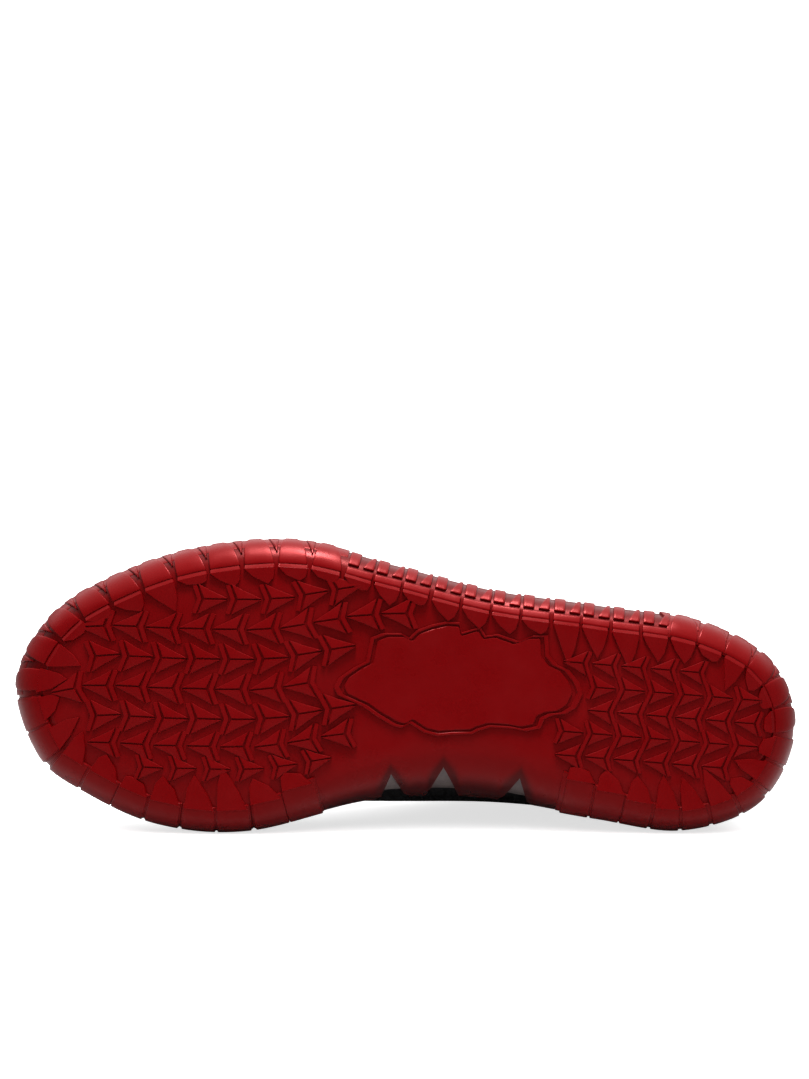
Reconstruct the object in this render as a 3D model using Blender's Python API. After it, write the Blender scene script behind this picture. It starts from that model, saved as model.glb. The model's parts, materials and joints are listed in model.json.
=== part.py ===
"""Left basketball shoe lying on its inner side: cup outsole with lugs, midsole, insole, hollow upper, tongue,
eyestay, eyelets and laces.

Every piece is modelled in the shoe's own frame, in millimetres: +x runs from heel to toe, +y to the outer side
and +z up from the plane that the lugs stand on. An empty then lays the whole shoe on its inner side.
"""

import math
from collections import namedtuple

import bmesh
import bpy
from mathutils import Matrix, Vector

MM = 0.001
UP = Vector((0, 0, 1))
OUTER, INNER = 1, -1

# Sole sizes
LENGTH = 300.0
LUG = 1.8
PANEL = 1.1
SIDE_BLOCK = 1.2
CUP_FLOOR = 3.4
CUP_WALL = 2.5
CUP_CLEAR = 0.6
GAP = 0.3
LIP_DRAFT = 2.0
MIDSOLE_RELIEF = 0.26
TOE_SPRING = 14.0
TOE_BREAK = 205.0
HEEL_BEVEL = 4.0
HEEL_BREAK = 26.0
ARCH_LIFT = 1.6
ARCH_SPAN = (88.0, 182.0)
BED_HEEL = 24.0
BED_BALL = 16.5
BED_SPAN = (75.0, 195.0)
INSOLE = 4.0

# Upper sizes
FEATHER = 7.6
WALL = 2.6
COLLAR_PAD = 4.0
RIB_RISE = 0.45
EDGE_FADE = 8
BULGE_PEAK = 0.4**2 * 0.6**3
EYESTAY = 1.2
EYESTAY_GAP = 0.8
TONGUE = 5.0
TONGUE_CLEAR = 0.9
TONGUE_DROP = 2.2
EYELET_PAIRS = 6
EYELET_HOLE = 2.3
LACE_WIDTH = 5.6
LACE_THICK = 1.5

# How the shoe lies: its toe points to -X, its sole faces -Y and its outer side is up.
# LEAN sets the upper down on the floor and LEVEL sets both the ball and the heel of the sole on it.
LEAN = math.radians(5.1)
LEVEL = math.radians(4.65)

Outline = namedtuple("Outline", "name outer_x outer_y inner_x inner_y")
OUTLINE = [
    Outline("heel_back", 0, 0, 0, 0),
    Outline("heel_corner", 11, 26, 11, -28),
    Outline("heel", 40, 39.5, 40, -41.5),
    Outline("heel_front", 80, 43, 75, -40),
    Outline("waist", 120, 45.5, 118, -37),
    Outline("instep", 158, 52, 160, -41),
    Outline("ball", 195, 58, 205, -55),
    Outline("toe_root", 232, 52.5, 240, -55.5),
    Outline("toe_side", 263, 40, 270, -45.5),
    Outline("toe_corner", 288, 22, 289, -33),
    Outline("toe_tip", LENGTH, -5, LENGTH, -5),
]
LAST = len(OUTLINE) - 1
BALL = 6

# How far the tread edge lies inside the outline, how high the widest point of the side is above the tread,
# and how far the cup's rim and the midsole's lip stand above the foot bed.
Side = namedtuple("Side", "name outer_edge inner_edge outer_shoulder inner_shoulder rim lip")
SIDES = [
    Side("heel_back", 9, 9, 13, 13, 4, 9),
    Side("heel_corner", 9, 9, 13, 13, 4, 9),
    Side("heel", 9, 9, 13, 13, 4, 9),
    Side("heel_front", 9, 13, 13, 17, 3, 8),
    Side("waist", 9, 23, 13, 27, 2, 7),
    Side("instep", 9, 18, 13, 22, 4, 7),
    Side("ball", 10, 10, 13, 13, 6, 8),
    Side("toe_root", 10, 10, 13, 13, 6, 7.5),
    Side("toe_side", 10, 10, 13, 13, 6.5, 7),
    Side("toe_corner", 10, 10, 13, 13, 7, 6),
    Side("toe_tip", 10, 10, 13, 13, 7.5, 5.5),
]

# The edge of the collar and throat, then the ridge of the vamp: place, half of the gap across it, how a rib of
# the wall swells near the sole (belly) and leans at its top (crown), and how far it bulges over the waist.
Top = namedtuple("Top", "name x z centre half_gap belly crown_out crown_drop outer_bulge inner_bulge")
TOPS = [
    Top("heel_back", 8, 111, 0, 0, 5, -2, 40, 0, 0),
    Top("heel_corner", 15, 110, 0, 19, 4, -1, 36, 0, 0),
    Top("heel", 42, 105, 0, 32, 3, 0.5, 32, 0, 0),
    Top("heel_front", 78, 101, 0, 36, 2, 1.5, 30, 1, 3),
    Top("waist", 111, 121, 0, 27, 2, 6, 34, 3, 10),
    Top("instep", 153, 98, -1, 17, 3, 18, 24, 3, 9),
    Top("ball", 194, 74, -2, 0, 2, 33, 8, 1, 1),
    Top("toe_root", 226, 65, -4, 0, 1.5, 31, 3, 0, 0),
    Top("toe_side", 250, 59.5, -6, 0, 2, 23, 1.5, 0, 0),
    Top("toe_corner", 266, 56, -7, 0, 3, 16, 1, 0, 0),
    Top("toe_tip", 274, 54, -7, 0, 3, 13, 0.5, 0, 0),
]
THROAT_FRONT = 6.0
THROAT_ROUND = 5.0
THROAT_BACK = 4.0
COLLAR_FRONT = 4.5

# The arch wall of the cup has V notches that show the midsole: section of the point, and half its span.
Notch = namedtuple("Notch", "middle half_span")
NOTCHES = [Notch(3.78, 0.17), Notch(4.4, 0.19), Notch(4.98, 0.16)]
NOTCH_FOOT = 0.3

# Meshing
STEPS = 3
RIB_ROWS = (0, 0.12, 0.3, 0.48, 0.66, 0.8, 0.91, 1)
CUP_STEPS = 4
EYESTAY_FROM = 0.8
EYESTAY_ENDS = (4.0, 6.4)
EYELET_ROW = 0.9

# Tread layout
Zone = namedtuple("Zone", "name start end rows first row_gap")
ZONES = [Zone("heel", 0.6, 3.9, 4, 0.75, 0.165), Zone("ball", 4.5, 9.5, 7, 0.83, 0.11)]
ROW_PITCH = 13.0
ROW_WIDTH = 10.4
LUG_SIZE = 0.97
EDGE_PITCH = 11.5
TREAD_MARGIN = 9.2
SINK = 1.0
SMOOTH_ARCH = (3.2, 5.35)
PANEL_CLEAR = 1.5
STAR = ((9.0, 0), (1.7, 2.0), (-3.7, 5.0), (-2.1, 0), (-3.7, -5.0), (1.7, -2.0))
PAD = ((5.6, 0), (-1.6, 4.4), (-1.6, -4.4))

# Stepped outline of the smooth panel under the arch, from its point at the ball to the one at the heel.
PanelRow = namedtuple("PanelRow", "x outer inner")
PANEL_ROWS = [
    PanelRow(176, 4.5, 4.5),
    PanelRow(174.5, 8, 1.2),
    PanelRow(169.5, 12, -0.6),
    PanelRow(165.5, 14.5, -2),
    PanelRow(164.5, 23, -2.6),
    PanelRow(160.5, 25, -5),
    PanelRow(154, 25.5, -8.2),
    PanelRow(151, 24, -8.6),
    PanelRow(148.5, 27, -6.6),
    PanelRow(143, 29.5, -9.6),
    PanelRow(138, 31, -10.4),
    PanelRow(133.5, 31, -9.6),
    PanelRow(132.5, 27.5, -9.4),
    PanelRow(126, 30, -8.8),
    PanelRow(124, 27, -7.5),
    PanelRow(119.5, 28, -5.8),
    PanelRow(112, 26, -5.6),
    PanelRow(107, 28.5, -6.2),
    PanelRow(102, 31, -4.8),
    PanelRow(101, 22, -1.5),
    PanelRow(98, 18.8, 0.2),
    PanelRow(93.5, 17.2, 1),
    PanelRow(90, 13.5, 3.5),
    PanelRow(88, 9.5, 9.5),
]


def spline(values, t):
    """Smooth curve through the values at t = 0, 1, 2 and so on, mirrored past both ends."""
    last = len(values) - 1
    i = min(max(int(t), 0), last - 1)
    f = t - i
    a, b, c = values[abs(i - 1)], values[i], values[i + 1]
    d = values[i + 2] if i + 2 <= last else values[last - 1]
    return 0.5 * (2 * b + (c - a) * f + (2 * a - 5 * b + 4 * c - d) * f**2 + (3 * b - a - 3 * c + d) * f**3)


def column(table, name, t):
    """A table's column at section t."""
    return spline([getattr(row, name) for row in table], t)


def ease(value, low, high):
    """0 below low, 1 above high, smooth between."""
    f = min(max((value - low) / (high - low), 0), 1)
    return f * f * (3 - 2 * f)


OUTER_POINTS = [Vector((row.outer_x, row.outer_y, 0)) for row in OUTLINE]
INNER_POINTS = [Vector((row.inner_x, row.inner_y, 0)) for row in OUTLINE]
LOOP = OUTER_POINTS + INNER_POINTS[-2:0:-1]


def plan(t, side):
    """Point of the sole's outline at section t on one side."""
    along = t if side == OUTER else 2 * LAST - t
    i = int(math.floor(along))
    points = [LOOP[(i + k) % len(LOOP)] for k in (-1, 0, 1, 2)]
    return spline(points, 1 + along - i)


def plan_normal(t, side):
    """Outward direction of the outline, level with the floor."""
    step = 0.02
    ahead = plan(min(t + step, LAST), side) if t < LAST else plan(t - step, -side)
    behind = plan(max(t - step, 0), side) if t > 0 else plan(t + step, -side)
    tangent = ahead - behind
    return Vector((-tangent.y, tangent.x, 0)).normalized() * side


def tread_z(x):
    """Height of the surface that the lugs reach: flat at heel and ball, with heel bevel, arch and toe spring."""
    toe = max(x - TOE_BREAK, 0) / (LENGTH - TOE_BREAK)
    heel = max(HEEL_BREAK - x, 0) / HEEL_BREAK
    low, high = ARCH_SPAN
    arch = math.sin(math.pi * min(max((x - low) / (high - low), 0), 1)) ** 2
    return TOE_SPRING * toe**1.8 + HEEL_BEVEL * heel**2 + ARCH_LIFT * arch


def bed_z(x):
    """Height of the midsole's foot bed."""
    toe = max(x - TOE_BREAK, 0) / (LENGTH - TOE_BREAK)
    return BED_HEEL + (BED_BALL - BED_HEEL) * ease(x, *BED_SPAN) + TOE_SPRING * toe**1.8


def inset(t, side, depth, z):
    """Point that lies depth inside the outline, at height z."""
    point = plan(t, side) - plan_normal(t, side) * depth
    return Vector((point.x, point.y, z))


def side_name(side, what):
    """Name of a table column that differs between the two sides."""
    return ("outer_" if side == OUTER else "inner_") + what


def corner(t, side, angle, floor=0.0, wall=0.0, proud=0.0, relief=0.0):
    """Point on the sole's rounded edge: angle 0 is the tread edge and a right angle the widest point.
    floor and wall move the whole edge inwards, proud moves the point out along its normal, and relief
    rounds the edge more."""
    edge = column(SIDES, side_name(side, "edge"), t)
    ground = tread_z(inset(t, side, SIDE_BLOCK + edge, 0).x)
    edge *= 1 + relief
    low = ground + LUG + floor
    height = ground + column(SIDES, side_name(side, "shoulder"), t) - low
    across, down = height * math.sin(angle), edge * math.cos(angle)
    size = math.hypot(across, down)
    depth = SIDE_BLOCK + wall + edge * (1 - math.sin(angle)) - proud * across / size
    return inset(t, side, depth, low + height * (1 - math.cos(angle)) - proud * down / size)


def rim_z(t, side):
    """Height of the cup's rim."""
    return bed_z(plan(t, side).x) + column(SIDES, "rim", t)


def notch_share(t, side):
    """Share of the side's height that is left at section t, below 1 inside a notch."""
    if side == OUTER:
        return 1.0
    depths = [max(1 - abs(t - notch.middle) / notch.half_span, 0) for notch in NOTCHES]
    return 1 - (1 - NOTCH_FOOT) * max(depths)


def cup_side(t, side, share, floor, wall, notched=True, relief=0.0):
    """Point of the cup's side: share 0 is the tread edge, 1 the rim, measured by height."""
    shoulder = corner(t, side, math.pi / 2, floor, wall)
    low = corner(t, side, 0, floor, wall)
    height = share * (notch_share(t, side) if notched else 1)
    z = low.z + (rim_z(t, side) - low.z) * height
    if z >= shoulder.z:
        return inset(t, side, SIDE_BLOCK + wall, z)
    angle = math.acos(1 - (z - low.z) / (shoulder.z - low.z))
    return corner(t, side, angle, floor, wall, relief=relief)


CUP_SHARES = [(i / CUP_STEPS) ** 1.5 for i in range(CUP_STEPS + 1)]


def stations(extra, clear):
    """Sections that carry a rib: evenly spaced ones, and the extra ones in place of those within clear of them."""
    regular = [i / STEPS for i in range(LAST * STEPS + 1)]
    return sorted([t for t in regular if all(abs(t - e) > clear for e in extra)] + extra)


SOLE_STATIONS = stations([n.middle + s * n.half_span for n in NOTCHES for s in (-1, -0.5, 0, 0.5, 1)], 0.09)
UPPER_STATIONS = stations([THROAT_FRONT - 0.15, THROAT_FRONT - 0.05], 0.01)


def ring(point_at):
    """Points round the shoe: heel to toe on the outer side, then back on the inner side."""
    outer = [point_at(t, OUTER) for t in SOLE_STATIONS]
    inner = [point_at(t, INNER) for t in SOLE_STATIONS[1:-1]]
    return outer + inner[::-1]


def add_ring(bm, points):
    return [bm.verts.new(p * MM) for p in points]


def bridge(bm, first, second):
    """Faces between two closed rings of as many vertices."""
    for i in range(len(first)):
        j = (i + 1) % len(first)
        bm.faces.new((first[i], first[j], second[j], second[i]))


def cap(bm, verts):
    """Faces across a ring, from each vertex of its first half to the one that faces it in the second."""
    across = [(verts[i], verts[-i % len(verts)]) for i in range(len(verts) // 2 + 1)]
    for (a, b), (c, d) in zip(across, across[1:]):
        bm.faces.new(list(dict.fromkeys((a, c, d, b))))


def finish_mesh(bm, name, smooth_angle=35):
    """Object from a closed bmesh, with its normals pointing out."""
    bmesh.ops.recalc_face_normals(bm, faces=bm.faces)
    mesh = bpy.data.meshes.new(name)
    bm.to_mesh(mesh)
    bm.free()
    mesh.shade_smooth()
    mesh.set_sharp_from_angle(angle=math.radians(smooth_angle))
    obj = bpy.data.objects.new(name, mesh)
    bpy.context.scene.collection.objects.link(obj)
    return obj


def ring_solid(name, rings):
    """Closed solid through rings of points, capped across at both ends."""
    bm = bmesh.new()
    verts = [add_ring(bm, points) for points in rings]
    for first, second in zip(verts, verts[1:]):
        bridge(bm, first, second)
    cap(bm, verts[0])
    cap(bm, verts[-1])
    return finish_mesh(bm, name)


def finish_material(obj, colour, roughness):
    """Principled material in the piece's own colour."""
    material = bpy.data.materials.new(obj.name)
    material.use_nodes = True
    shader = material.node_tree.nodes["Principled BSDF"]
    shader.inputs["Base Color"].default_value = (*colour, 1)
    shader.inputs["Roughness"].default_value = roughness
    shader.inputs["Metallic"].default_value = 0
    obj.data.materials.append(material)


def add_boolean(obj, other, operation):
    """Boolean with a helper that is itself left out of the model."""
    other.hide_render = True
    other.display_type = "WIRE"
    modifier = obj.modifiers.new(other.name, "BOOLEAN")
    modifier.operation = operation
    modifier.solver = "EXACT"
    modifier.object = other


# Tread

def tread_edge(t, side):
    return corner(t, side, 0)


def row_point(t, share):
    """Point of the tread's base at section t, a share of the way from the inner edge to the outer one."""
    return tread_edge(t, INNER).lerp(tread_edge(t, OUTER), share)


def evenly(point_at, start, end, pitch):
    """Values of t between start and end whose points lie a pitch apart."""
    found, travelled, steps = [], pitch / 2, 600
    previous = point_at(start)
    for i in range(1, steps + 1):
        t = start + (end - start) * i / steps
        here = point_at(t)
        travelled += (here - previous).length
        previous = here
        if travelled >= pitch:
            found.append(t)
            travelled -= pitch
    return found


def near_panel(point):
    """True inside the smooth panel under the arch, or closer to it than a lug may be."""
    for a, b in zip(PANEL_ROWS, PANEL_ROWS[1:]):
        if b.x - PANEL_CLEAR < point.x < a.x + PANEL_CLEAR:
            if min(a.inner, b.inner) - PANEL_CLEAR < point.y < max(a.outer, b.outer) + PANEL_CLEAR:
                return True
    return False


def on_tread(point, margin):
    """True where a point of the base lies clear of the tread's edge."""
    nearest = min((tread_edge(t, side) - point).length for t in SOLE_STATIONS for side in (OUTER, INNER))
    return nearest > margin


def flat_outline(centre, along, outline):
    """Outline points round a centre, turned to run along a direction."""
    along = Vector((along.x, along.y, 0)).normalized()
    across = UP.cross(along)
    return [centre + along * a + across * b for a, b in outline]


def add_lug_sides(bm, points, height):
    """Sides of a block from a little inside the base down to a height below it."""
    top = [bm.verts.new(Vector((p.x, p.y, tread_z(p.x) + LUG - height)) * MM) for p in points]
    root = [bm.verts.new(Vector((p.x, p.y, tread_z(p.x) + LUG + SINK)) * MM) for p in points]
    bridge(bm, top, root)
    return top, root


def add_lug(bm, points, height):
    """Closed block with a plain top."""
    for verts in add_lug_sides(bm, points, height):
        bm.faces.new(verts)


def add_row_lugs(bm):
    """Rows of three-armed lugs along the sole, pointing to toe and heel in turn."""
    for zone in ZONES:
        for number in range(zone.rows):
            add_row(bm, zone, zone.first - zone.row_gap * number, number % 2)


def add_row(bm, zone, share, to_toe):
    """One row of lugs, kept smaller where the sole is narrow."""
    for t in evenly(lambda s: row_point(s, share), zone.start, zone.end, ROW_PITCH):
        centre = row_point(t, share)
        width = (row_point(t, 1) - row_point(t, 0)).length
        size = min(width * zone.row_gap / ROW_WIDTH, 1) * LUG_SIZE
        along = row_point(t + 0.05, 0.5) - row_point(t - 0.05, 0.5)
        outline = [(a * size, b * size) for a, b in STAR]
        points = flat_outline(centre, along if to_toe else -along, outline)
        if all(on_tread(p, TREAD_MARGIN) and not near_panel(p) for p in points):
            add_lug(bm, points, LUG)


def edge_stations(side, angle):
    """Sections spaced evenly along one side of the sole's edge, without the smooth arch wall."""
    found = evenly(lambda t: corner(t, side, angle), 0, LAST, EDGE_PITCH)
    low, high = SMOOTH_ARCH
    return [t for t in found if side == OUTER or not low < t < high]


def add_edge_pads(bm):
    """Plain three-cornered pads inside the tread's edge, pointing inwards."""
    for side in (OUTER, INNER):
        for t in edge_stations(side, 0):
            edge = tread_edge(t, side)
            inward = -plan_normal(t, side)
            points = flat_outline(edge + inward * 2.2, inward, PAD)
            if not any(near_panel(p) for p in points):
                add_lug(bm, points, LUG)


def add_side_blocks(bm):
    """Slanting blocks on the sole's rounded edge."""
    angles = [math.radians(a) for a in (16, 48, 80)]
    for side in (OUTER, INNER):
        for t in edge_stations(side, math.pi / 4):
            half = 0.36 * EDGE_PITCH / (plan(t + 0.01, side) - plan(t - 0.01, side)).length * 0.02
            lean = [half * 0.5 * k for k in (-1, 0, 1)]
            outer, root = [], []
            for way, order in ((-1, (0, 1, 2)), (1, (2, 1, 0))):
                for k in order:
                    s = min(max(t + way * half + lean[k], 0.02), LAST - 0.02)
                    outer.append(bm.verts.new(corner(s, side, angles[k], proud=SIDE_BLOCK) * MM))
                    root.append(bm.verts.new(corner(s, side, angles[k], proud=-SINK) * MM))
            bridge(bm, outer, root)
            for verts in (outer, root):
                bm.faces.new((verts[0], verts[1], verts[4], verts[5]))
                bm.faces.new((verts[1], verts[2], verts[3], verts[4]))


def add_panel(bm):
    """Smooth panel under the arch, with a stepped outline."""
    points = [Vector((row.x, row.outer, 0)) for row in PANEL_ROWS]
    points += [Vector((row.x, row.inner, 0)) for row in PANEL_ROWS[-2:0:-1]]
    for verts in add_lug_sides(bm, points, PANEL):
        cap(bm, verts)


def build_lugs():
    bm = bmesh.new()
    add_row_lugs(bm)
    add_edge_pads(bm)
    add_side_blocks(bm)
    add_panel(bm)
    return finish_mesh(bm, "tread_lugs")


# Sole

def build_outsole():
    """Cup with its floor, rounded edge and notched side wall, and the lugs moulded on it."""
    outside = [ring(lambda t, s, k=k: cup_side(t, s, k, 0, 0)) for k in CUP_SHARES]
    inside = [ring(lambda t, s, k=k: cup_side(t, s, k, CUP_FLOOR, CUP_WALL)) for k in CUP_SHARES]
    outsole = ring_solid("outsole", outside + inside[::-1])
    add_boolean(outsole, build_lugs(), "UNION")
    finish_material(outsole, (0.30, 0.004, 0.010), 0.42)


def build_midsole():
    """Foam block that fills the cup, with a lip round the upper's foot."""
    floor, wall = CUP_FLOOR + GAP, CUP_WALL + CUP_CLEAR

    def body(t, side, share):
        return cup_side(t, side, share, floor, wall, notched=False, relief=MIDSOLE_RELIEF)

    def lip(t, side, depth):
        return inset(t, side, depth, bed_z(plan(t, side).x) + column(SIDES, "lip", t))

    def bed(t, side):
        return inset(t, side, FEATHER - GAP, bed_z(plan(t, side).x))

    rings = [ring(lambda t, s, k=k: body(t, s, k)) for k in CUP_SHARES[:-1]]
    rings.append(ring(lambda t, s: lip(t, s, SIDE_BLOCK + wall)))
    rings.append(ring(lambda t, s: lip(t, s, FEATHER - GAP - LIP_DRAFT)))
    rings.append(ring(bed))
    finish_material(ring_solid("midsole", rings), (0.42, 0.41, 0.40), 0.6)


def build_insole():
    """Sock liner on the foot bed, inside the upper."""
    edge = FEATHER + WALL + 2 * GAP

    def at(t, side, depth, rise):
        return inset(t, side, depth, bed_z(plan(t, side).x) + rise)

    rings = [
        ring(lambda t, s: at(t, s, edge, GAP)),
        ring(lambda t, s: at(t, s, edge, INSOLE - 1)),
        ring(lambda t, s: at(t, s, edge + 1.5, INSOLE)),
    ]
    finish_material(ring_solid("insole", rings), (0.22, 0.01, 0.015), 0.85)


# Upper

def half_gap(t):
    """Half of the gap between the two top edges: rounded at the throat's front, none along the vamp."""
    if t >= THROAT_FRONT:
        return 0.0
    if t > THROAT_ROUND:
        span = THROAT_FRONT - THROAT_ROUND
        return TOPS[int(THROAT_ROUND)].half_gap * math.sqrt(1 - ((t - THROAT_ROUND) / span) ** 3)
    return max(column(TOPS, "half_gap", t), 0)


def upper_point(t, side, h):
    """Point of the upper's outer face: h is 0 at the sole and 1 at the collar, throat or ridge."""
    x = plan(t, side).x
    foot = inset(t, side, FEATHER, bed_z(x) + GAP)
    centre = column(TOPS, "centre", t)
    gap = max(column(TOPS, "half_gap", t), 0)
    top = Vector((column(TOPS, "x", t), centre + side * gap, column(TOPS, "z", t)))
    out = plan_normal(t, side)
    first = foot + out * column(TOPS, "belly", t) + UP * (RIB_RISE * (top.z - foot.z))
    second = top + out * column(TOPS, "crown_out", t) - UP * column(TOPS, "crown_drop", t)
    g = 1 - h
    point = g**3 * foot + 3 * g * g * h * first + 3 * g * h * h * second + h**3 * top
    point.y += side * (half_gap(t) - gap) * h**EDGE_FADE
    return point + out * column(TOPS, side_name(side, "bulge"), t) * h * h * g**3 / BULGE_PEAK


def upper_normal(t, side, h):
    """Outward direction of the upper's face."""
    step = 0.02
    t = min(max(t, step), LAST - step)
    h = min(max(h, step), 1 - step)
    along = upper_point(t + step, side, h) - upper_point(t - step, side, h)
    rise = upper_point(t, side, h + step) - upper_point(t, side, h - step)
    return rise.cross(along).normalized() * side


def over_upper(t, side, h, height):
    """Point at a height over the upper's outer face, or under it if negative."""
    return upper_point(t, side, h) + upper_normal(t, side, h) * height


def wall_thickness(t, h):
    """Thickness of the wall, padded below the collar's edge."""
    collar = 1 - ease(t, COLLAR_FRONT - 1, COLLAR_FRONT)
    return WALL + COLLAR_PAD * collar * ease(h, 0.5, 0.78) * (1 - 0.7 * ease(h, 0.88, 1))


def upper_faces(bm):
    """Outer face of the upper as a grid of vertices by section, side and row. The vamp's ridge is shared."""
    verts = {}
    for t in UPPER_STATIONS:
        for side in (OUTER, INNER):
            for h in RIB_ROWS:
                joined = t in (0, LAST) or (h == 1 and t >= THROAT_FRONT)
                key = (t, OUTER if joined else side, h)
                if key not in verts:
                    verts[key] = bm.verts.new(upper_point(t, key[1], h) * MM)
                verts[(t, side, h)] = verts[key]
    for side in (OUTER, INNER):
        for t0, t1 in zip(UPPER_STATIONS, UPPER_STATIONS[1:]):
            for h0, h1 in zip(RIB_ROWS, RIB_ROWS[1:]):
                corners = [verts[key] for key in ((t0, side, h0), (t1, side, h0), (t1, side, h1), (t0, side, h1))]
                bm.faces.new(corners[::-1] if side == OUTER else corners)
    return verts


def normals(bm):
    """Outward direction at each vertex of a sheet."""
    bm.normal_update()
    return {v: v.normal.copy() for v in bm.verts}


def thicken(bm, out, depth_at):
    """Turns an open sheet into a closed wall: depth_at gives the thickness behind each vertex."""
    sheet = list(bm.faces)
    back = {v: bm.verts.new(v.co - out[v] * depth_at(v) * MM) for v in list(bm.verts)}
    rim = [e for e in bm.edges if len(e.link_faces) == 1]
    for face in sheet:
        bm.faces.new([back[v] for v in reversed(face.verts)])
    for edge in rim:
        a, b = edge.verts
        bm.faces.new((a, b, back[b], back[a]))
    return back


def eyelet_places():
    """Section and side of each eyelet, from the throat's front to its top."""
    low, high = THROAT_BACK + 0.18, THROAT_FRONT - 0.36
    sections = [high + (low - high) * i / (EYELET_PAIRS - 1) for i in range(EYELET_PAIRS)]
    return [(number + 1, t, side) for number, t in enumerate(sections) for side in (OUTER, INNER)]


def facing(t, side, h, height):
    """Placement at a height over the upper's face, with its own z along the face's normal."""
    turn = upper_normal(t, side, h).to_track_quat("Z", "Y").to_matrix().to_4x4()
    return Matrix.Translation(over_upper(t, side, h, height) * MM) @ turn


def build_eyelet_cutter(name):
    bm = bmesh.new()
    for _, t, side in eyelet_places():
        bmesh.ops.create_cone(
            bm,
            cap_ends=True,
            segments=8,
            radius1=EYELET_HOLE * MM,
            radius2=EYELET_HOLE * MM,
            depth=16 * MM,
            matrix=facing(t, side, EYELET_ROW, 0),
        )
    return finish_mesh(bm, name)


def build_upper():
    """Hollow wall from the sole to the collar and throat, with its eyelet holes."""
    bm = bmesh.new()
    verts = upper_faces(bm)
    place = {v: (t, h) for (t, _, h), v in verts.items()}
    back = thicken(bm, normals(bm), lambda v: wall_thickness(*place[v]))
    for v, inner in back.items():
        if place[v][1] == 0:
            inner.co.z = v.co.z
    upper = finish_mesh(bm, "upper")
    add_boolean(upper, build_eyelet_cutter("upper_eyelet_holes"), "DIFFERENCE")
    finish_material(upper, (0.018, 0.017, 0.018), 0.8)


def build_eyestay():
    """Overlay round the throat, cut from the upper's own face."""
    bm = bmesh.new()
    verts = upper_faces(bm)
    kept = {v for (t, _, h), v in verts.items() if EYESTAY_ENDS[0] <= t <= EYESTAY_ENDS[1] and h >= EYESTAY_FROM}
    out = normals(bm)
    bmesh.ops.delete(bm, geom=[v for v in bm.verts if v not in kept], context="VERTS")
    for v in bm.verts:
        v.co += out[v] * (EYESTAY_GAP + EYESTAY) * MM
    thicken(bm, out, lambda v: EYESTAY)
    eyestay = finish_mesh(bm, "eyestay")
    add_boolean(eyestay, build_eyelet_cutter("eyestay_eyelet_holes"), "DIFFERENCE")
    finish_material(eyestay, (0.02, 0.018, 0.02), 0.5)


def build_eyelets():
    """Flanged rings set in the eyestay's holes."""
    bore, barrel, flange, segments = 1.4, EYELET_HOLE - 0.4, 3.1, 8
    seat = EYESTAY_GAP + EYESTAY + 0.7
    profile = [(bore, -1.6), (barrel, -1.6), (barrel, 0), (flange, 0), (bore, 0.7)]
    for number, t, side in eyelet_places():
        bm = bmesh.new()
        rings = []
        for radius, z in profile:
            angles = [2 * math.pi * i / segments for i in range(segments)]
            rings.append(add_ring(bm, [Vector((radius * math.cos(a), radius * math.sin(a), z)) for a in angles]))
        for first, second in zip(rings, rings[1:] + rings[:1]):
            bridge(bm, first, second)
        name = f"eyelet_{'outer' if side == OUTER else 'inner'}_{number}"
        eyelet = finish_mesh(bm, name)
        eyelet.matrix_world = facing(t, side, EYELET_ROW, seat)
        finish_material(eyelet, (0.05, 0.05, 0.052), 0.35)


# Tongue and laces

TONGUE_FRONT = 6.7
TONGUE_STEPS = 9
TONGUE_FREE = (8.0, 17.0, 24.0)
TONGUE_TAPER = 0.008
CROWN = 0.2
CROWN_EDGE = 0.45


def throat_rows(t):
    """Rows of the upper where the throat's cover starts at its sides, and where the crown between them starts."""
    side = 0.88 - 0.14 * ease(t, 4.1, 5.0)
    return side, 0.985 - 0.06 * ease(t, 5.4, 6.0)


def throat_point(t, across, height, under=False):
    """Point over the throat: across runs from -1 on the inner side to 1 on the outer one. height is measured
    from the upper's outer face, or from its inner one if under, and a low crown spans the gap. The sides end
    at the tongue's edges if under, and otherwise at the eyelets."""
    side_row, edge_row = throat_rows(t)
    side_row = side_row if under else EYELET_ROW

    def at(side, h):
        return over_upper(t, side, h, height - (wall_thickness(t, h) if under else 0))

    reach = abs(across)
    if reach >= CROWN_EDGE:
        share = (reach - CROWN_EDGE) / (1 - CROWN_EDGE)
        return at(OUTER if across > 0 else INNER, edge_row + (side_row - edge_row) * share)
    rise = (upper_normal(t, OUTER, edge_row) + upper_normal(t, INNER, edge_row)).normalized()
    middle = across / CROWN_EDGE
    chord = at(INNER, edge_row).lerp(at(OUTER, edge_row), 0.5 + 0.5 * middle)
    return chord + rise * CROWN * half_gap(t) * (1 - middle**2)


def tongue_grid():
    """Rows of points over the tongue's face, from under the vamp to its free end."""
    shares = (-1, -0.72, -0.45, -0.22, 0, 0.22, 0.45, 0.72, 1)
    back = THROAT_BACK + 0.12
    sections = [TONGUE_FRONT + (back - TONGUE_FRONT) * i / TONGUE_STEPS for i in range(TONGUE_STEPS + 1)]

    def clear(t):
        return TONGUE_CLEAR + TONGUE_DROP * ease(t, 5.2, 5.8)

    rows = [[throat_point(t, share, -clear(t), under=True) for share in shares] for t in sections]
    step = [(a - b).normalized() for a, b in zip(rows[-1], rows[-3])]
    middle = step[len(step) // 2]
    for reach in TONGUE_FREE:
        narrow = 1 - TONGUE_TAPER * reach
        centre = rows[TONGUE_STEPS][len(shares) // 2]
        rows.append([centre + (p - centre) * narrow + middle * reach for p in rows[TONGUE_STEPS]])
    return rows


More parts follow.
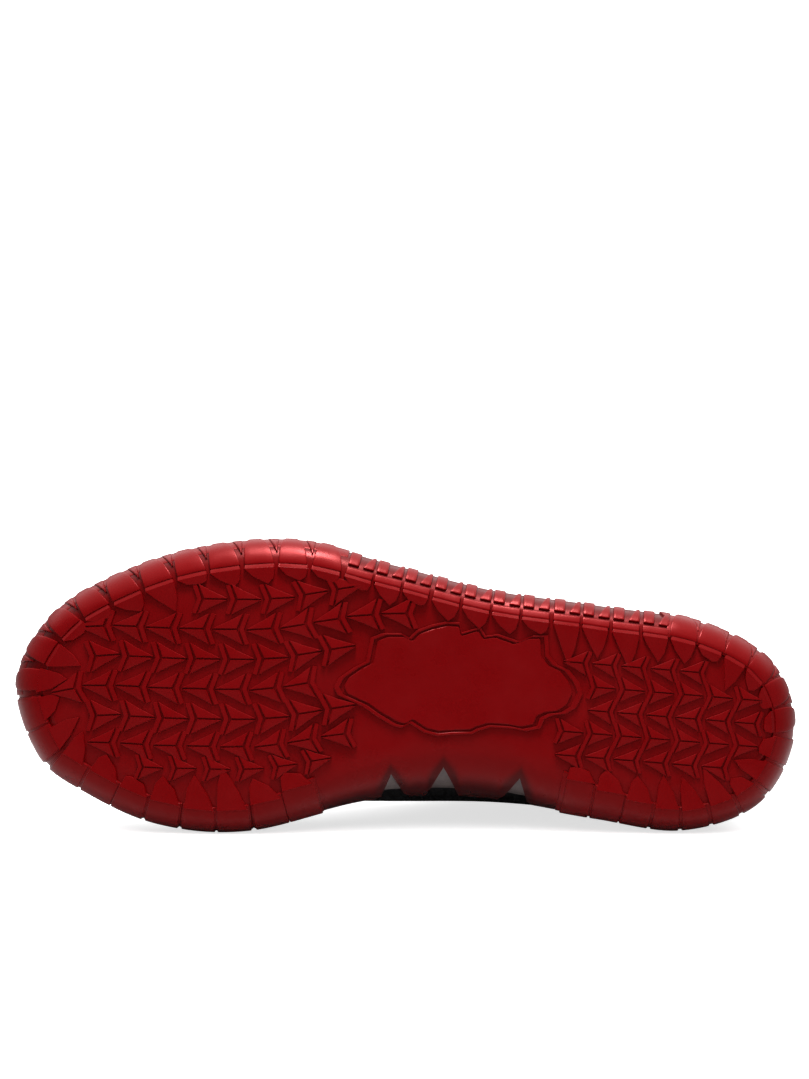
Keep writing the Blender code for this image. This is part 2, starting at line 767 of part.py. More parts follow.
def build_tongue():
    """Padded strip under the throat."""
    bm = bmesh.new()
    rows = [add_ring(bm, points) for points in tongue_grid()]
    for first, second in zip(rows, rows[1:]):
        for i in range(len(first) - 1):
            bm.faces.new((first[i], first[i + 1], second[i + 1], second[i]))
    thicken(bm, normals(bm), lambda v: TONGUE)
    finish_material(finish_mesh(bm, "tongue"), (0.02, 0.019, 0.02), 0.85)


LACE_OVER = EYESTAY_GAP + EYESTAY + 3.4
LACE_STEPS = (-1, -0.72, -CROWN_EDGE, -0.2, 0.2, CROWN_EDGE, 0.72, 1)


def lace_run(start, end, lift):
    """Closed flat strip over the throat, from the inner eyelet at section start to the outer one at end."""
    bm = bmesh.new()
    centres, ups = [], []
    for across in LACE_STEPS:
        t = start + (end - start) * (across + 1) / 2
        centres.append(throat_point(t, across, LACE_OVER + lift))
        ups.append((throat_point(t, across, LACE_OVER + lift + 1) - centres[-1]).normalized())
    rings = []
    for i, (centre, up) in enumerate(zip(centres, ups)):
        along = centres[min(i + 1, len(centres) - 1)] - centres[max(i - 1, 0)]
        flat = up.cross(along).normalized() * LACE_WIDTH / 2
        thick = up * LACE_THICK
        rings.append(add_ring(bm, (centre - flat, centre + flat, centre + flat + thick, centre - flat + thick)))
    for first, second in zip(rings, rings[1:]):
        bridge(bm, first, second)
    bm.faces.new(rings[0])
    bm.faces.new(rings[-1])
    return bm


def build_laces():
    """Crossings over the tongue, joined into one piece, with the first bar at the throat's front."""
    sections = [t for _, t, side in eyelet_places() if side == OUTER]
    runs = [(sections[0], sections[0], 0.0)]
    for t0, t1 in zip(sections, sections[1:]):
        runs.append((t0, t1, 0.35))
        runs.append((t1, t0, 0.7))
    laces = finish_mesh(lace_run(*runs[0]), "laces")
    for number, run in enumerate(runs[1:]):
        add_boolean(laces, finish_mesh(lace_run(*run), f"lace_run_{number}"), "UNION")
    finish_material(laces, (0.25, 0.01, 0.015), 0.8)


def lay_down():
    """Parents every piece to an empty that lays the shoe on its inner side, centred over the origin."""
    pose = bpy.data.objects.new("shoe_pose", None)
    bpy.context.scene.collection.objects.link(pose)
    pieces = [obj for obj in bpy.context.scene.objects if obj.type == "MESH"]
    for obj in pieces:
        obj.parent = pose
    axes = Matrix(((-1, 0, 0), (0, 0, 1), (0, 1, 0))).to_4x4()
    turn = Matrix.Rotation(LEVEL, 4, "Y") @ Matrix.Rotation(-LEAN, 4, "X") @ axes
    pose.matrix_world = turn
    bpy.context.view_layer.update()
    graph = bpy.context.evaluated_depsgraph_get()
    points = []
    for obj in pieces:
        if not obj.hide_render:
            solid = obj.evaluated_get(graph)
            points += [solid.matrix_world @ v.co for v in solid.data.vertices]
    low = [min(p[i] for p in points) for i in range(3)]
    high = [max(p[i] for p in points) for i in range(3)]
    shift = Vector((-(low[0] + high[0]) / 2, -(low[1] + high[1]) / 2, -low[2]))
    pose.matrix_world = Matrix.Translation(shift) @ turn


def main():
    for obj in list(bpy.data.objects):
        bpy.data.objects.remove(obj)
    build_outsole()
    build_midsole()
    build_insole()
    build_upper()
    build_eyestay()
    build_eyelets()
    build_tongue()
    build_laces()
    lay_down()


main()
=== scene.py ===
"""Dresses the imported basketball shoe, which lies on its inner side with its tread to the camera.

Pieces are modelled in the shoe's own frame, in millimetres: +x from heel to toe, +y to the outer side and
+z up from the plane that the lugs stand on. The pose then lays each one where its solid is.
"""

import json
import logging
import math
from dataclasses import dataclass, field
from enum import IntEnum
from functools import lru_cache
from typing import Callable, NamedTuple, Sequence

import bmesh
import bpy
from mathutils import Matrix, Vector
from mathutils.geometry import intersect_point_tri_2d


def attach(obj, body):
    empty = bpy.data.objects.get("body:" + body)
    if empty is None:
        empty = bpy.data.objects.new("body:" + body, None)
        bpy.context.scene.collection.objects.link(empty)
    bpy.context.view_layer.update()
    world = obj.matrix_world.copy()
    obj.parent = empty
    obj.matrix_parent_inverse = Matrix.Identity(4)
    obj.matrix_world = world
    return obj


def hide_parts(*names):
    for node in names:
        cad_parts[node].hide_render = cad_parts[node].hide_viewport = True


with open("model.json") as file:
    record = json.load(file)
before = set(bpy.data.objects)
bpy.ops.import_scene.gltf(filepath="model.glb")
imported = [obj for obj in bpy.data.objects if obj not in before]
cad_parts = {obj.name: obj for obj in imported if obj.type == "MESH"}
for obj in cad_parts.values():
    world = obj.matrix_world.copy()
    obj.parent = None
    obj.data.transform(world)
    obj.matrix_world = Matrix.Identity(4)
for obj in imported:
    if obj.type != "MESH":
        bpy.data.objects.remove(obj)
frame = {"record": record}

MM = 0.001
UP = Vector((0, 0, 1))
BMesh = bmesh.types.BMesh
Mesh = bpy.types.Mesh
Material = bpy.types.Material
Socket = bpy.types.NodeSocket
Object = bpy.types.Object
Colour = tuple[float, float, float]
Place = Callable[[float, float], Vector]
Spot = tuple[float, float]
Vertex = tuple[float, float, float]

log = logging.getLogger("shoe")


class Side(IntEnum):
    """Side of the foot."""

    OUTER = 1
    INNER = -1


class Outline(NamedTuple):
    """Where one section meets the sole's outline on either side."""

    outer_x: float
    outer_y: float
    inner_x: float
    inner_y: float


class Edge(NamedTuple):
    """Width and height of the sole's rounded edge at one section, and its rim and lip over the foot bed."""

    outer_edge: float
    inner_edge: float
    outer_shoulder: float
    inner_shoulder: float
    rim: float
    lip: float


class Top(NamedTuple):
    """Edge of the collar and throat or ridge of the vamp at one section, and how the wall leans."""

    x: float
    z: float
    centre: float
    half_gap: float
    belly: float
    crown_out: float
    crown_drop: float
    outer_bulge: float
    inner_bulge: float


class PanelRow(NamedTuple):
    """Outline of the smooth panel on either side of the sole at one place along it."""

    x: float
    outer: float
    inner: float


class LugRow(NamedTuple):
    """Row of lugs: its distance from the middle, pitch, share of a pitch before the first, size and way."""

    aside: float
    pitch: float
    phase: float
    size: float
    way: int


class EdgeBlock(NamedTuple):
    """Rounded block on the sole's edge.

    It has its ends at its lower and upper edge, in millimetres towards the toe, its lowest and highest angle
    on the rounded edge, how far it stands out at both, and how much its upper end is rounded, from 0 to 1.
    """

    foot: tuple[float, float]
    head: tuple[float, float]
    angles: tuple[float, float]
    proud: tuple[float, float]
    dome: float = 0.0


class Notch(NamedTuple):
    """V notch in the arch wall: section of its point and half of its span."""

    middle: float
    half_span: float


def ease(value: float, low: float, high: float) -> float:
    """0 below low, 1 above high, smooth between."""
    f = min(max((value - low) / (high - low), 0.0), 1.0)
    return f * f * (3 - 2 * f)


def spline(values: Sequence, t: float):
    """Smooth curve through values at t = 0, 1, 2 and so on.

    Args:
        values: numbers or vectors.
        t: place along them.

    Returns:
        The number or vector at t, with the values mirrored past both ends.
    """
    last = len(values) - 1
    i = min(max(int(t), 0), last - 1)
    f = t - i
    a, b, c = values[abs(i - 1)], values[i], values[i + 1]
    d = values[i + 2] if i + 2 <= last else values[last - 1]
    return 0.5 * (2 * b + (c - a) * f + (2 * a - 5 * b + 4 * c - d) * f**2 + (3 * b - a - 3 * c + d) * f**3)


@dataclass(eq=False)
class ShoeForm:
    """Form of the shoe: sole outline, rounded edge, foot bed and upper, by section t from heel to toe."""

    length: float = 300.0
    lug: float = 1.8
    side_block: float = 1.2
    floor: float = 3.4
    wall: float = 2.5
    clear: float = 0.6
    gap: float = 0.3
    toe_spring: float = 14.0
    toe_break: float = 205.0
    heel_bevel: float = 4.0
    heel_break: float = 26.0
    arch_lift: float = 1.6
    arch_span: tuple[float, float] = (88.0, 182.0)
    bed_heel: float = 24.0
    bed_ball: float = 16.5
    bed_span: tuple[float, float] = (75.0, 195.0)
    feather: float = 7.6
    upper_wall: float = 2.6
    collar_pad: float = 4.0
    rib_rise: float = 0.45
    edge_fade: float = 8.0
    throat_front: float = 6.0
    throat_round: float = 5.0
    throat_back: float = 4.0
    collar_front: float = 4.5
    eyelet_row: float = 0.9
    crown: float = 0.2
    crown_edge: float = 0.45
    notch_point: float = 0.48
    notch_rim: float = 0.984
    notches: tuple[Notch, ...] = (Notch(3.7, 0.13), Notch(4.35, 0.15), Notch(4.8, 0.12))
    outline: tuple[Outline, ...] = (
        Outline(0, 0, 0, 0),
        Outline(11, 26, 11, -28),
        Outline(40, 39.5, 40, -41.5),
        Outline(80, 43, 75, -40),
        Outline(120, 45.5, 118, -37),
        Outline(158, 52, 160, -41),
        Outline(195, 58, 205, -55),
        Outline(232, 52.5, 240, -55.5),
        Outline(263, 40, 270, -45.5),
        Outline(288, 22, 289, -33),
        Outline(300, -5, 300, -5),
    )
    edges: tuple[Edge, ...] = (
        Edge(9, 9, 13, 13, 4, 9),
        Edge(9, 9, 13, 13, 4, 9),
        Edge(9, 9, 13, 13, 4, 9),
        Edge(9, 13, 13, 17, 3, 8),
        Edge(9, 23, 13, 27, 2, 7),
        Edge(9, 18, 13, 22, 4, 7),
        Edge(10, 10, 13, 13, 6, 8),
        Edge(10, 10, 13, 13, 6, 7.5),
        Edge(10, 10, 13, 13, 6.5, 7),
        Edge(10, 10, 13, 13, 7, 6),
        Edge(10, 10, 13, 13, 7.5, 5.5),
    )
    tops: tuple[Top, ...] = (
        Top(8, 111, 0, 0, 5, -2, 40, 0, 0),
        Top(15, 110, 0, 19, 4, -1, 36, 0, 0),
        Top(42, 105, 0, 32, 3, 0.5, 32, 0, 0),
        Top(78, 101, 0, 36, 2, 1.5, 30, 1, 3),
        Top(111, 121, 0, 27, 2, 6, 34, 3, 7.6),
        Top(153, 98, -1, 17, 3, 18, 24, 3, 6.8),
        Top(194, 74, -2, 0, 2, 33, 8, 1, 1),
        Top(226, 65, -4, 0, 1.5, 31, 3, 0, 0),
        Top(250, 59.5, -6, 0, 2, 23, 1.5, 0, 0),
        Top(266, 56, -7, 0, 3, 16, 1, 0, 0),
        Top(274, 54, -7, 0, 3, 13, 0.5, 0, 0),
    )

    def __post_init__(self) -> None:
        """Works out the outline's loop and the columns of the tables."""
        self.last = len(self.outline) - 1
        outer = [Vector((row.outer_x, row.outer_y, 0)) for row in self.outline]
        inner = [Vector((row.inner_x, row.inner_y, 0)) for row in self.outline]
        self.loop = outer + inner[-2:0:-1]
        self.edge_columns = {name: [getattr(row, name) for row in self.edges] for name in Edge._fields}
        self.top_columns = {name: [getattr(row, name) for row in self.tops] for name in Top._fields}

    @lru_cache(maxsize=None)
    def edge_at(self, name: str, t: float) -> float:
        """A size of the sole's edge at section t."""
        return spline(self.edge_columns[name], t)

    @lru_cache(maxsize=None)
    def top_at(self, name: str, t: float) -> float:
        """A size of the upper's top at section t."""
        return spline(self.top_columns[name], t)

    def round_shoe(self, u: float) -> tuple[float, Side]:
        """Section and side at a share u of the way round: heel to toe outside, then back inside."""
        if u <= 0.5:
            return self.last * 2 * u, Side.OUTER
        return self.last * (2 - 2 * u), Side.INNER

    def past_ends(self, t: float, side: Side) -> tuple[float, Side]:
        """Section and side, carried over to the other side past the heel or toe."""
        if t < 0:
            return -t, Side(-side)
        if t > self.last:
            return 2 * self.last - t, Side(-side)
        return t, side

    @lru_cache(maxsize=None)
    def plan(self, t: float, side: Side) -> Vector:
        """Point of the sole's outline at section t on one side."""
        along = t if side == Side.OUTER else 2 * self.last - t
        i = int(math.floor(along))
        points = [self.loop[(i + k) % len(self.loop)] for k in (-1, 0, 1, 2)]
        return spline(points, 1 + along - i)

    @lru_cache(maxsize=None)
    def plan_normal(self, t: float, side: Side) -> Vector:
        """Outward direction of the outline, level with the floor."""
        step = 0.02
        ahead, behind = self.plan(min(t + step, self.last), side), self.plan(max(t - step, 0), side)
        if t >= self.last:
            ahead = self.plan(t - step, Side(-side))
        if t <= 0:
            behind = self.plan(t + step, Side(-side))
        tangent = ahead - behind
        return Vector((-tangent.y, tangent.x, 0)).normalized() * side

    def tread_z(self, x: float) -> float:
        """Height of the surface that the lugs reach."""
        toe = max(x - self.toe_break, 0) / (self.length - self.toe_break)
        heel = max(self.heel_break - x, 0) / self.heel_break
        low, high = self.arch_span
        arch = math.sin(math.pi * min(max((x - low) / (high - low), 0), 1)) ** 2
        return self.toe_spring * toe**1.8 + self.heel_bevel * heel**2 + self.arch_lift * arch

    def bed_z(self, x: float) -> float:
        """Height of the foot bed."""
        toe = max(x - self.toe_break, 0) / (self.length - self.toe_break)
        fall = (self.bed_ball - self.bed_heel) * ease(x, *self.bed_span)
        return self.bed_heel + fall + self.toe_spring * toe**1.8

    def inset(self, t: float, side: Side, depth: float, z: float) -> Vector:
        """Point that lies depth inside the outline, at height z."""
        point = self.plan(t, side) - self.plan_normal(t, side) * depth
        return Vector((point.x, point.y, z))

    @lru_cache(maxsize=None)
    def corner(self, t: float, side: Side, angle: float, floor: float = 0.0, wall: float = 0.0,
               proud: float = 0.0, relief: float = 0.0) -> Vector:
        """Point on the sole's rounded edge.

        Args:
            t: section.
            side: side of the foot.
            angle: 0 at the tread edge and a right angle at the widest point.
            floor: how far the whole edge is moved up.
            wall: how far it is moved in.
            proud: how far the point stands out along its normal.
            relief: how much rounder the edge is.

        Returns:
            The point, in millimetres.
        """
        name = "outer" if side == Side.OUTER else "inner"
        edge = self.edge_at(name + "_edge", t)
        ground = self.tread_z(self.inset(t, side, self.side_block + edge, 0).x)
        edge *= 1 + relief
        low = ground + self.lug + floor
        height = ground + self.edge_at(name + "_shoulder", t) - low
        across, down = height * math.sin(angle), edge * math.cos(angle)
        size = math.hypot(across, down)
        depth = self.side_block + wall + edge * (1 - math.sin(angle)) - proud * across / size
        return self.inset(t, side, depth, low + height * (1 - math.cos(angle)) - proud * down / size)

    def rim_z(self, t: float, side: Side) -> float:
        """Height of the cup's rim."""
        return self.bed_z(self.plan(t, side).x) + self.edge_at("rim", t)

    def notch_share(self, t: float, side: Side) -> float:
        """Share of the side's height that is left at section t, below 1 inside a notch."""
        if side == Side.OUTER:
            return 1.0
        aside = min(abs(t - notch.middle) / notch.half_span for notch in self.notches)
        reach = self.notch_point + (self.notch_rim - self.notch_point) * min(aside, 1)
        return (1 - math.sqrt(1 - reach**2)) / (1 - math.sqrt(1 - self.notch_rim**2))

    def cup_side(self, t: float, side: Side, share: float, floor: float, wall: float,
                 notched: bool = True, relief: float = 0.0) -> Vector:
        """Point of the cup's side, by its share of the height from the tread edge to the rim."""
        shoulder = self.corner(t, side, math.pi / 2, floor, wall)
        low = self.corner(t, side, 0, floor, wall)
        height = share * (self.notch_share(t, side) if notched else 1)
        z = low.z + (self.rim_z(t, side) - low.z) * height
        if z >= shoulder.z:
            return self.inset(t, side, self.side_block + wall, z)
        angle = math.acos(max(1 - (z - low.z) / (shoulder.z - low.z), -1))
        return self.corner(t, side, angle, floor, wall, relief=relief)

    def row_point(self, t: float, share: float) -> Vector:
        """Point of the tread's base, a share of the way from its inner edge to its outer one."""
        inner, outer = self.corner(t, Side.INNER, 0), self.corner(t, Side.OUTER, 0)
        point = inner.lerp(outer, share)
        point.z = self.tread_z(point.x) + self.lug
        return point

    @lru_cache(maxsize=None)
    def half_gap(self, t: float) -> float:
        """Half of the gap between the two top edges: rounded at the throat's front, none along the vamp."""
        if t >= self.throat_front:
            return 0.0
        if t > self.throat_round:
            span = self.throat_front - self.throat_round
            rounded = math.sqrt(1 - ((t - self.throat_round) / span) ** 3)
            return self.tops[int(self.throat_round)].half_gap * rounded
        return max(self.top_at("half_gap", t), 0)

    def upper_point(self, t: float, side: Side, h: float) -> Vector:
        """Point of the upper's outer face: h is 0 at the sole and 1 at the collar, throat or ridge."""
        x = self.plan(t, side).x
        foot = self.inset(t, side, self.feather, self.bed_z(x) + self.gap)
        gap = max(self.top_at("half_gap", t), 0)
        top = Vector((self.top_at("x", t), self.top_at("centre", t) + side * gap, self.top_at("z", t)))
        out = self.plan_normal(t, side)
        first = foot + out * self.top_at("belly", t) + UP * (self.rib_rise * (top.z - foot.z))
        second = top + out * self.top_at("crown_out", t) - UP * self.top_at("crown_drop", t)
        g = 1 - h
        point = g**3 * foot + 3 * g * g * h * first + 3 * g * h * h * second + h**3 * top
        point.y += side * (self.half_gap(t) - gap) * h**self.edge_fade
        bulge = self.top_at("outer_bulge" if side == Side.OUTER else "inner_bulge", t)
        return point + out * bulge * h * h * g**3 / (0.4**2 * 0.6**3)

    def one_side_normal(self, t: float, side: Side, h: float) -> Vector:
        """Outward direction of the upper's face, from one side alone."""
        step = 0.02
        t = min(max(t, step), self.last - step)
        h = min(max(h, step), 1 - step)
        along = self.upper_point(t + step, side, h) - self.upper_point(t - step, side, h)
        rise = self.upper_point(t, side, h + step) - self.upper_point(t, side, h - step)
        return rise.cross(along).normalized() * side

    def upper_normal(self, t: float, side: Side, h: float) -> Vector:
        """Outward direction of the upper's face, the same from both sides where they meet."""
        normal = self.one_side_normal(t, side, h)
        if t in (0, self.last) or (h >= 1 and t >= self.throat_front):
            normal = (normal + self.one_side_normal(t, Side(-side), h)).normalized()
        return normal

    def over_upper(self, t: float, side: Side, h: float, height: float) -> Vector:
        """Point at a height over the upper's outer face, or under it if negative."""
        return self.upper_point(t, side, h) + self.upper_normal(t, side, h) * height

    def wall_thickness(self, t: float, h: float) -> float:
        """Thickness of the upper, padded below the collar's edge."""
        collar = 1 - ease(t, self.collar_front - 1, self.collar_front)
        return self.upper_wall + self.collar_pad * collar * ease(h, 0.5, 0.78) * (1 - 0.7 * ease(h, 0.88, 1))

    def eyelet_sections(self, pairs: int = 6) -> list[float]:
        """Sections of the eyelet pairs, from the throat's front to its top."""
        low, high = self.throat_back + 0.18, self.throat_front - 0.36
        return [high + (low - high) * i / (pairs - 1) for i in range(pairs)]

    def throat_point(self, t: float, across: float, height: float, under: bool = False) -> Vector:
        """Point over the throat.

        Args:
            t: section.
            across: -1 on the inner side to 1 on the outer one.
            height: from the upper's outer face, or from its inner one if under.
            under: whether the sides end at the tongue's edges instead of the eyelets.

        Returns:
            The point, with a low crown over the gap.
        """
        side_row = 0.88 - 0.14 * ease(t, 4.1, 5.0) if under else self.eyelet_row
        edge_row = 0.985 - 0.06 * ease(t, 5.4, 6.0)

        def at(side: Side, h: float) -> Vector:
            """Point at the height on one side."""
            return self.over_upper(t, side, h, height - (self.wall_thickness(t, h) if under else 0))

        reach = abs(across)
        if reach >= self.crown_edge:
            share = (reach - self.crown_edge) / (1 - self.crown_edge)
            return at(Side.OUTER if across > 0 else Side.INNER, edge_row + (side_row - edge_row) * share)
        rise = self.upper_normal(t, Side.OUTER, edge_row) + self.upper_normal(t, Side.INNER, edge_row)
        middle = across / self.crown_edge
        chord = at(Side.INNER, edge_row).lerp(at(Side.OUTER, edge_row), 0.5 + 0.5 * middle)
        return chord + rise.normalized() * self.crown * self.half_gap(t) * (1 - middle**2)


@dataclass
class Pose:
    """Lays the shoe on its inner side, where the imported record's heel mount says it is."""

    lean: float = math.radians(5.1)
    level: float = math.radians(4.65)
    heel_face: Vector = field(default_factory=lambda: Vector((46.24, 4.71, 0)))

    def matrix(self) -> Matrix:
        """Matrix from the shoe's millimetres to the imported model's metres."""
        mount = next(m for m in frame["record"]["mounts"] if m["name"] == "tread_heel")
        axes = Matrix(((-1, 0, 0), (0, 0, 1), (0, 1, 0)))
        turn = Matrix.Rotation(self.level, 3, "Y") @ Matrix.Rotation(-self.lean, 3, "X") @ axes
        shift = Vector(mount["pos_m"]) - turn @ (self.heel_face * MM)
        return Matrix.Translation(shift) @ turn.to_4x4() @ Matrix.Scale(MM, 4)


class NodeMaterial:
    """A material and short ways to add and link its nodes."""

    def __init__(self, name: str) -> None:
        """Makes an empty material with its shader."""
        self.material = bpy.data.materials.new(name)
        self.material.use_nodes = True
        self.tree = self.material.node_tree
        self.shader = self.tree.nodes["Principled BSDF"]

    def add(self, kind: str, settings: dict | None = None, **values) -> bpy.types.Node:
        """Adds a node.

        Args:
            kind: node type without its prefix.
            settings: properties of the node.
            values: values or output sockets for its inputs, with _ for a space in the name.

        Returns:
            The node.
        """
        node = self.tree.nodes.new("ShaderNode" + kind)
        for name, value in (settings or {}).items():
            setattr(node, name, value)
        for name, value in values.items():
            self.put(node.inputs[name.replace("_", " ")], value)
        return node

    def put(self, socket: Socket, value) -> None:
        """Sets a socket's value, or links an output to it."""
        if isinstance(value, Socket):
            self.tree.links.new(value, socket)
        else:
            socket.default_value = value

    def set(self, **values) -> None:
        """Sets or links the shader's inputs by name."""
        for name, value in values.items():
            self.put(self.shader.inputs[name.replace("_", " ")], value)

    def place(self, uv: bool = False) -> Socket:
        """Coordinates of the object, or of the piece's own UV map."""
        return self.add("TexCoord").outputs["UV" if uv else "Object"]

    def noise(self, place: Socket, scale: float, detail: float = 3.0) -> Socket:
        """Noise value at a scale per unit of the coordinates."""
        return self.add("TexNoise", Vector=place, Scale=scale, Detail=detail).outputs[0]

    def span(self, value: Socket, low: float, high: float,
             start: float = 0.35, end: float = 0.65) -> Socket:
        """A value mapped from between start and end to between low and high."""
        node = self.add("MapRange", Value=value, From_Min=start, From_Max=end, To_Min=low, To_Max=high)
        return node.outputs[0]

    def mix(self, share: Socket, first, second) -> Socket:
        """Colour between two, by a share."""
        node = self.add("Mix", {"data_type": "RGBA"})
        self.put(node.inputs[0], share)
        for socket, value in ((node.inputs[6], first), (node.inputs[7], second)):
            self.put(socket, (*value, 1) if isinstance(value, tuple) else value)
        return node.outputs[2]

    def maths(self, operation: str, first, second) -> Socket:
        """Result of a sum on two values."""
        node = self.add("Math", {"operation": operation})
        self.put(node.inputs[0], first)
        self.put(node.inputs[1], second)
        return node.outputs[0]

    def bump(self, height: Socket, strength: float, distance: float,
             under: Socket | None = None) -> Socket:
        """Bumped normal from a height, over another one if given."""
        node = self.add("Bump", Height=height, Strength=strength, Distance=distance)
        if under is not None:
            self.put(node.inputs["Normal"], under)
        return node.outputs[0]


@dataclass(frozen=True)
class RubberFinish:
    """Moulded red rubber with a fine matt grain and faint rub marks, and painted shade that darkens its
    grooves and recesses.
    """

    name: str = "red_rubber"
    face: Colour = (0.087, 0.0003, 0.0007)
    # Colour of the painted shade in grooves and recesses.
    painted_shade: Colour = (0.024, 0.0001, 0.0002)
    rubbed: Colour = (0.096, 0.0005, 0.0011)

    def build(self) -> Material:
        """Makes the material."""
        m = NodeMaterial(self.name)
        place = m.place()
        patches = m.noise(place, 34, 4)
        grain = m.noise(place, 2600, 2)
        # Painted shade: a vertex layer darkens the rubber in grooves, at roots and at the arch wall's foot.
        depth = m.add("Attribute", {"attribute_name": "painted_shade"}).outputs["Fac"]
        worn = m.mix(m.span(patches, 0, 0.55), self.face, self.rubbed)
        m.set(Base_Color=m.mix(depth, worn, self.painted_shade))
        m.set(Roughness=m.span(m.noise(place, 90, 5), 0.26, 0.4))
        m.set(Normal=m.bump(grain, 0.12, 0.0002, m.bump(patches, 0.03, 0.0006)))
        m.set(Specular_IOR_Level=0.35, Specular_Tint=(1.0, 0.12, 0.12, 1.0))
        return m.material


@dataclass(frozen=True)
class FoamFinish:
    """Pale moulded foam with a soft pebbled skin."""

    name: str = "grey_foam"
    face: Colour = (0.14, 0.108, 0.104)
    shade: Colour = (0.1, 0.078, 0.076)

    def build(self) -> Material:
        """Makes the material."""
        m = NodeMaterial(self.name)
        place = m.place()
        pebble = m.add("TexVoronoi", Vector=place, Scale=950.0).outputs["Distance"]
        m.set(Base_Color=m.mix(m.span(m.noise(place, 120, 5), 0, 1), self.face, self.shade))
        m.set(Roughness=m.span(m.noise(place, 300), 0.55, 0.72))
        m.set(Normal=m.bump(pebble, 0.25, 0.0003))
        return m.material


@dataclass(frozen=True)
class KnitFinish:
    """Knitted yarn in rows of loops, from the piece's UV map in centimetres."""

    name: str = "knit"
    yarn: Colour = (0.0095, 0.0078, 0.0083)
    gap: Colour = (0.004, 0.003, 0.0035)
    across: float = 1.9
    along: float = 2.6
    height: float = 0.0005
    sheen: float = 0.02

    def build(self) -> Material:
        """Makes the material."""
        m = NodeMaterial(self.name)
        place = m.place(uv=True)
        rows = m.add("TexWave", {"bands_direction": "Y"}, Vector=place, Scale=self.along, Distortion=1.6,
                     Detail=0.0, Detail_Scale=4.0).outputs["Fac"]
        loops = m.add("TexWave", {"bands_direction": "X"}, Vector=place, Scale=self.across, Distortion=1.2,
                      Detail=0.0, Detail_Scale=4.0).outputs["Fac"]
        yarn = m.maths("MULTIPLY", rows, loops)
        fuzz = m.noise(place, 26, 4)
        shade = m.maths("MULTIPLY", m.span(yarn, 0.15, 1, 0, 0.8), m.span(fuzz, 0.75, 1))
        m.set(Base_Color=m.mix(shade, self.gap, self.yarn))
        m.set(Roughness=m.span(fuzz, 0.72, 0.9))
        m.set(Normal=m.bump(yarn, 0.7, self.height, m.bump(fuzz, 0.2, 0.0003)))
        m.set(Sheen_Weight=self.sheen, Sheen_Roughness=0.5, Specular_IOR_Level=0.14)
        return m.material


@dataclass(frozen=True)
class HideFinish:
    """Smooth grained hide with a low gloss."""

    name: str = "grained_hide"
    face: Colour = (0.012, 0.0103, 0.011)
    pore: Colour = (0.0045, 0.0038, 0.004)

    def build(self) -> Material:
        """Makes the material."""
        m = NodeMaterial(self.name)
        place = m.place()
        cells = m.add("TexVoronoi", {"feature": "DISTANCE_TO_EDGE"}, Vector=place, Scale=720.0)
        pores = m.span(cells.outputs["Distance"], 0, 1, 0, 0.22)
        m.set(Base_Color=m.mix(pores, self.pore, self.face))
        m.set(Roughness=m.span(m.noise(place, 160, 4), 0.48, 0.64))
        m.set(Normal=m.bump(pores, 0.35, 0.0003))
        m.set(Specular_IOR_Level=0.3)
        return m.material


@dataclass(frozen=True)
class BraidFinish:
    """Flat braid of red yarn, from the lace's UV map."""

    name: str = "red_braid"
    yarn: Colour = (0.15, 0.0016, 0.003)
    gap: Colour = (0.05, 0.0005, 0.001)

    def build(self) -> Material:
        """Makes the material."""
        m = NodeMaterial(self.name)
        place = m.place(uv=True)
        strands = m.add("TexWave", {"bands_direction": "DIAGONAL"}, Vector=place, Scale=1.7, Distortion=0.6)
        turned = m.add("Mapping", Vector=place, Scale=(1, -1, 1)).outputs[0]
        others = m.add("TexWave", {"bands_direction": "DIAGONAL"}, Vector=turned, Scale=1.7, Distortion=0.6)
        braid = m.maths("MAXIMUM", strands.outputs["Fac"], others.outputs["Fac"])
        m.set(Base_Color=m.mix(m.span(braid, 0, 1, 0.45, 0.9), self.gap, self.yarn))
        m.set(Roughness=m.span(m.noise(place, 30), 0.65, 0.85))
        m.set(Normal=m.bump(braid, 0.6, 0.0004))
        m.set(Sheen_Weight=0.04, Sheen_Roughness=0.5, Specular_IOR_Level=0.2)
        return m.material


@dataclass(frozen=True)
class EyeletFinish:
    """Dark lacquered metal with fine turning marks."""

    name: str = "dark_metal"
    face: Colour = (0.06, 0.058, 0.06)
    worn: Colour = (0.16, 0.15, 0.15)

    def build(self) -> Material:
        """Makes the material."""
        m = NodeMaterial(self.name)
        place = m.place()
        marks = m.noise(place, 700, 5)
        m.set(Base_Color=m.mix(m.span(marks, 0, 0.6, 0.5, 0.8), self.face, self.worn))
        m.set(Roughness=m.span(marks, 0.25, 0.45))
        m.set(Normal=m.bump(marks, 0.08, 0.0001))
        m.set(Metallic=0.85)
        return m.material


@dataclass(frozen=True)
class FloorFinish:
    """Plain pale studio floor."""

    name: str = "studio_floor"
    face: Colour = (0.86, 0.86, 0.86)
    shade: Colour = (0.83, 0.83, 0.83)
    bounce: Colour = (0.42, 0.42, 0.42)
    glow: float = 0.7

    def build(self) -> Material:
        """Makes the material."""
        m = NodeMaterial(self.name)
        pale = m.mix(m.noise(m.place(), 6), self.face, self.shade)
        seen = m.add("LightPath").outputs["Is Camera Ray"]
        m.set(Base_Color=m.mix(seen, self.bounce, pale))
        m.set(Roughness=0.9, Specular_IOR_Level=0.0, Emission_Color=(1, 1, 1, 1))
        m.set(Emission_Strength=m.maths("MULTIPLY", seen, self.glow))
        return m.material


